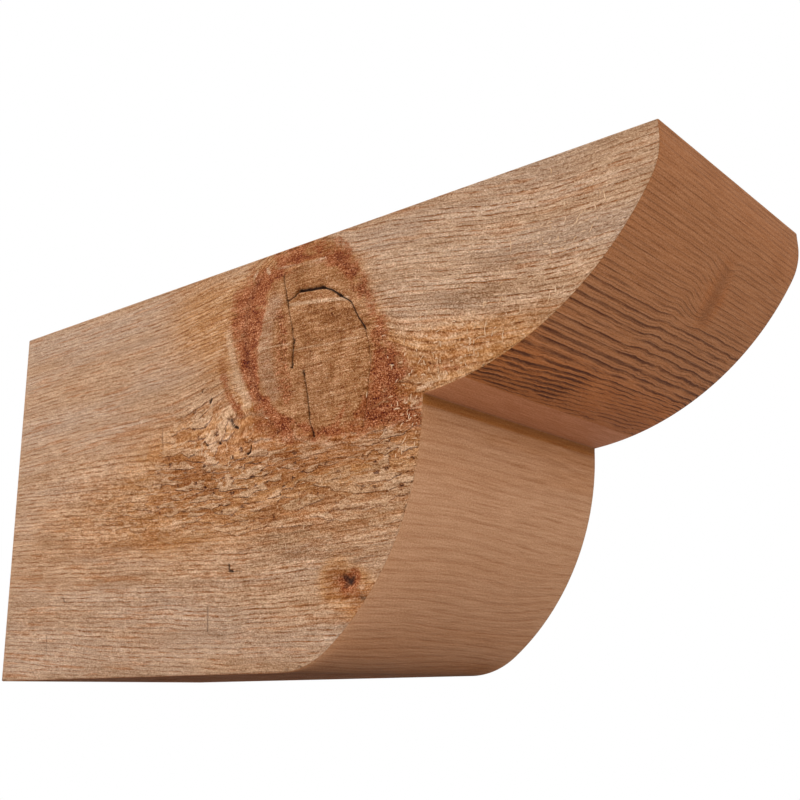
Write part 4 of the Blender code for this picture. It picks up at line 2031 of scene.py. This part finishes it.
@dataclass(frozen=True)
class RaisedFibres:
    """Short torn fibres that lie on the near side, mostly towards the two curves.

    Attributes:
        count: Number of fibres.
        seed: Number that fixes where they lie.
        length: Shortest and longest fibre, in millimetres.
        thickness: Thinnest and thickest, in millimetres.
        rise: Distance of their middles from the solid's side, in millimetres.
        segments: Number of pieces along each fibre.
        flatness: A fibre's height as a share of its width.
        BEDS: Where the fibres lie. A bed's strength is its share of them.
    """

    count: int = 230
    seed: int = 5
    length: tuple[float, float] = (1.0, 3.2)
    thickness: tuple[float, float] = (0.34, 0.54)
    rise: float = 0.27
    segments: int = 6
    flatness: float = 0.45

    BEDS = (
        Patch(330.0, 134.0, 26.0, 12.0, 1.0),
        Patch(300.0, 119.0, 12.0, 5.0, 0.5),
        Patch(362.0, 162.0, 20.0, 20.0, 0.8),
        Patch(284.0, 98.0, 9.0, 22.0, 0.9),
        Patch(282.0, 128.0, 14.0, 12.0, 0.3),
        Patch(172.0, 108.0, 20.0, 16.0, 0.6),
        Patch(230.0, 70.0, 45.0, 22.0, 0.4),
    )

    def _bed(self, rng: np.random.Generator, outline: Outline) -> tuple[float, float]:
        """A place for a fibre on the near side.

        Args:
            rng: Source of chance.
            outline: The timber's outline.

        Returns:
            Its x and z, in millimetres.
        """
        weights = np.array([bed.strength for bed in self.BEDS])
        while True:
            bed = self.BEDS[rng.choice(len(self.BEDS), p=weights / weights.sum())]
            x, z = rng.normal(bed.x, bed.across / 1.4), rng.normal(bed.z, bed.up / 1.4)
            low = max(z - 4.0, 1.0)
            if 4.0 < z < outline.height - 5.0 and x < min(outline.front(np.array([low, z, z + 4.0]))) - 2.5:
                return x, z

    def _fibre(self, rng: np.random.Generator, outline: Outline) -> tuple[Array, list[tuple[int, ...]]]:
        """One curved fibre, pointed at both ends.

        Args:
            rng: Source of chance.
            outline: The timber's outline.

        Returns:
            Its points in millimetres, and its faces.
        """
        x, z = self._bed(rng, outline)
        length = rng.uniform(*self.length) * (2.0 if rng.random() < 0.15 else 1.0)
        steep = rng.random() < 0.6
        angle = rng.normal(82.0, 20.0) if steep else rng.normal(6.0, 16.0)
        turn = rng.normal(0.0, 1.0)
        share = np.linspace(-0.5, 0.5, self.segments + 1)
        heading = math.radians(angle) + turn * share
        step = length / self.segments
        path = np.stack([np.cumsum(np.cos(heading)), np.cumsum(np.sin(heading))], axis=1) * step
        path += (x, z) - path.mean(axis=0)
        side = np.stack([-np.sin(heading), np.cos(heading)], axis=1)
        half = 0.5 * rng.uniform(*self.thickness) * np.sqrt(np.maximum(1.0 - (2.0 * share) ** 2, 0.04))
        middle = at_width(path, -outline.width / 2.0 + self.rise)
        square = at_width(side * half[:, None], 0.0)
        outward = at_width(0.0 * side, self.flatness * half)
        rings = [middle + square, middle - outward, middle - square, middle + outward]
        points = np.stack(rings, axis=1).reshape(-1, 3)
        faces: list[tuple[int, ...]] = [(3, 2, 1, 0)]
        for base in range(0, 4 * self.segments, 4):
            for here, after in ((0, 1), (1, 2), (2, 3), (3, 0)):
                faces.append((base + here, base + after, base + 4 + after, base + 4 + here))
        last = 4 * self.segments
        faces.append((last, last + 1, last + 2, last + 3))
        return points, faces

    def material(self) -> bpy.types.Material:
        """Builds the node material of pale, dry wood fibre.

        Returns:
            The material.
        """
        g = Graph("raised_fibre")
        place = g.plain()
        shade = g.noise(place, (0.5, 0.5, 0.5), 2.0)
        colour = g.mix(g.rise(shade, 0.35, 0.65), srgb(226, 190, 156), srgb(204, 160, 120))
        g.finish(colour, 0.85, g.noise(place, (3.0, 3.0, 3.0)), 0.3, 0.0002)
        return g.material

    def build(self, outline: Outline) -> bpy.types.Object:
        """Makes all the fibres as one object.

        Args:
            outline: The timber's outline.

        Returns:
            The object, at the origin.
        """
        rng = np.random.default_rng(self.seed)
        points: list[Array] = []
        faces: list[tuple[int, ...]] = []
        for _ in range(self.count):
            own_points, own_faces = self._fibre(rng, outline)
            first = sum(len(p) for p in points)
            points.append(own_points)
            faces.extend(tuple(first + index for index in face) for face in own_faces)
        places = (np.vstack(points) - (outline.length / 2.0, 0.0, 0.0)) * MM
        mesh = bpy.data.meshes.new("raised_fibres")
        mesh.from_pydata(places.tolist(), [], faces)
        mesh.materials.append(self.material())
        mesh.update()
        fibres = bpy.data.objects.new("raised_fibres", mesh)
        bpy.context.scene.collection.objects.link(fibres)
        return fibres


class RafterTail:
    """The dressed timber."""

    def __init__(self) -> None:
        """Reads the size from the frame and sets up the wood."""
        self.outline = Outline.of_node(NODE)
        self.wood = WoodField(self.outline, Knot())

    def finishes(self) -> list[bpy.types.Material]:
        """Makes the timber's finishes.

        Returns:
            One material for each face, in the order of Face.
        """
        plain = SawnFinish("sawn_plain", contrast=0.9).material()
        # The underside's darker, redder colours are painted shade on this downward face.
        under = SawnFinish("sawn_underside_painted_shade", srgb(170, 112, 76), srgb(162, 106, 72), contrast=0.9)
        # On the heel the deep colour right by the notch is painted shade in the crease.
        heel = CurveFinish(
            "heel_curve", light=srgb(184, 137, 101), deep=srgb(168, 102, 44), line=srgb(134, 74, 30),
            deepest=2.0,
        )
        nose = CurveFinish(
            "nose_curve", light=srgb(158, 103, 64), deep=srgb(170, 101, 52), line=srgb(78, 36, 10),
            deepest=34.0, strip_width=20.8,
        )
        by_face = {
            Face.NEAR: SawnFinish("sawn_side").material(), Face.FAR: plain, Face.TOP: plain,
            Face.BACK: EndGrainFinish("sawn_end").material(), Face.UNDERSIDE: under.material(),
            Face.HEEL: heel.material(), Face.NOSE: nose.material(),
        }
        return [by_face[face] for face in Face]

    def build(self) -> None:
        """Builds the timber and its raised fibres, and hangs them in the frame."""
        timber = TimberMesh(self.outline, self.wood, Spacing()).build(self.finishes())
        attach(timber, BODY)
        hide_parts(NODE)
        LOG.info("timber ready")
        fibres = RaisedFibres().build(self.outline)
        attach(fibres, BODY)
        LOG.info("raised fibres ready")


def main() -> None:
    """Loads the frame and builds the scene."""
    logging.basicConfig(level=logging.INFO, format="%(name)s: %(message)s")
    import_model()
    Studio().build()
    LOG.info("studio ready")
    RafterTail().build()


if __name__ == "__main__":
    main()
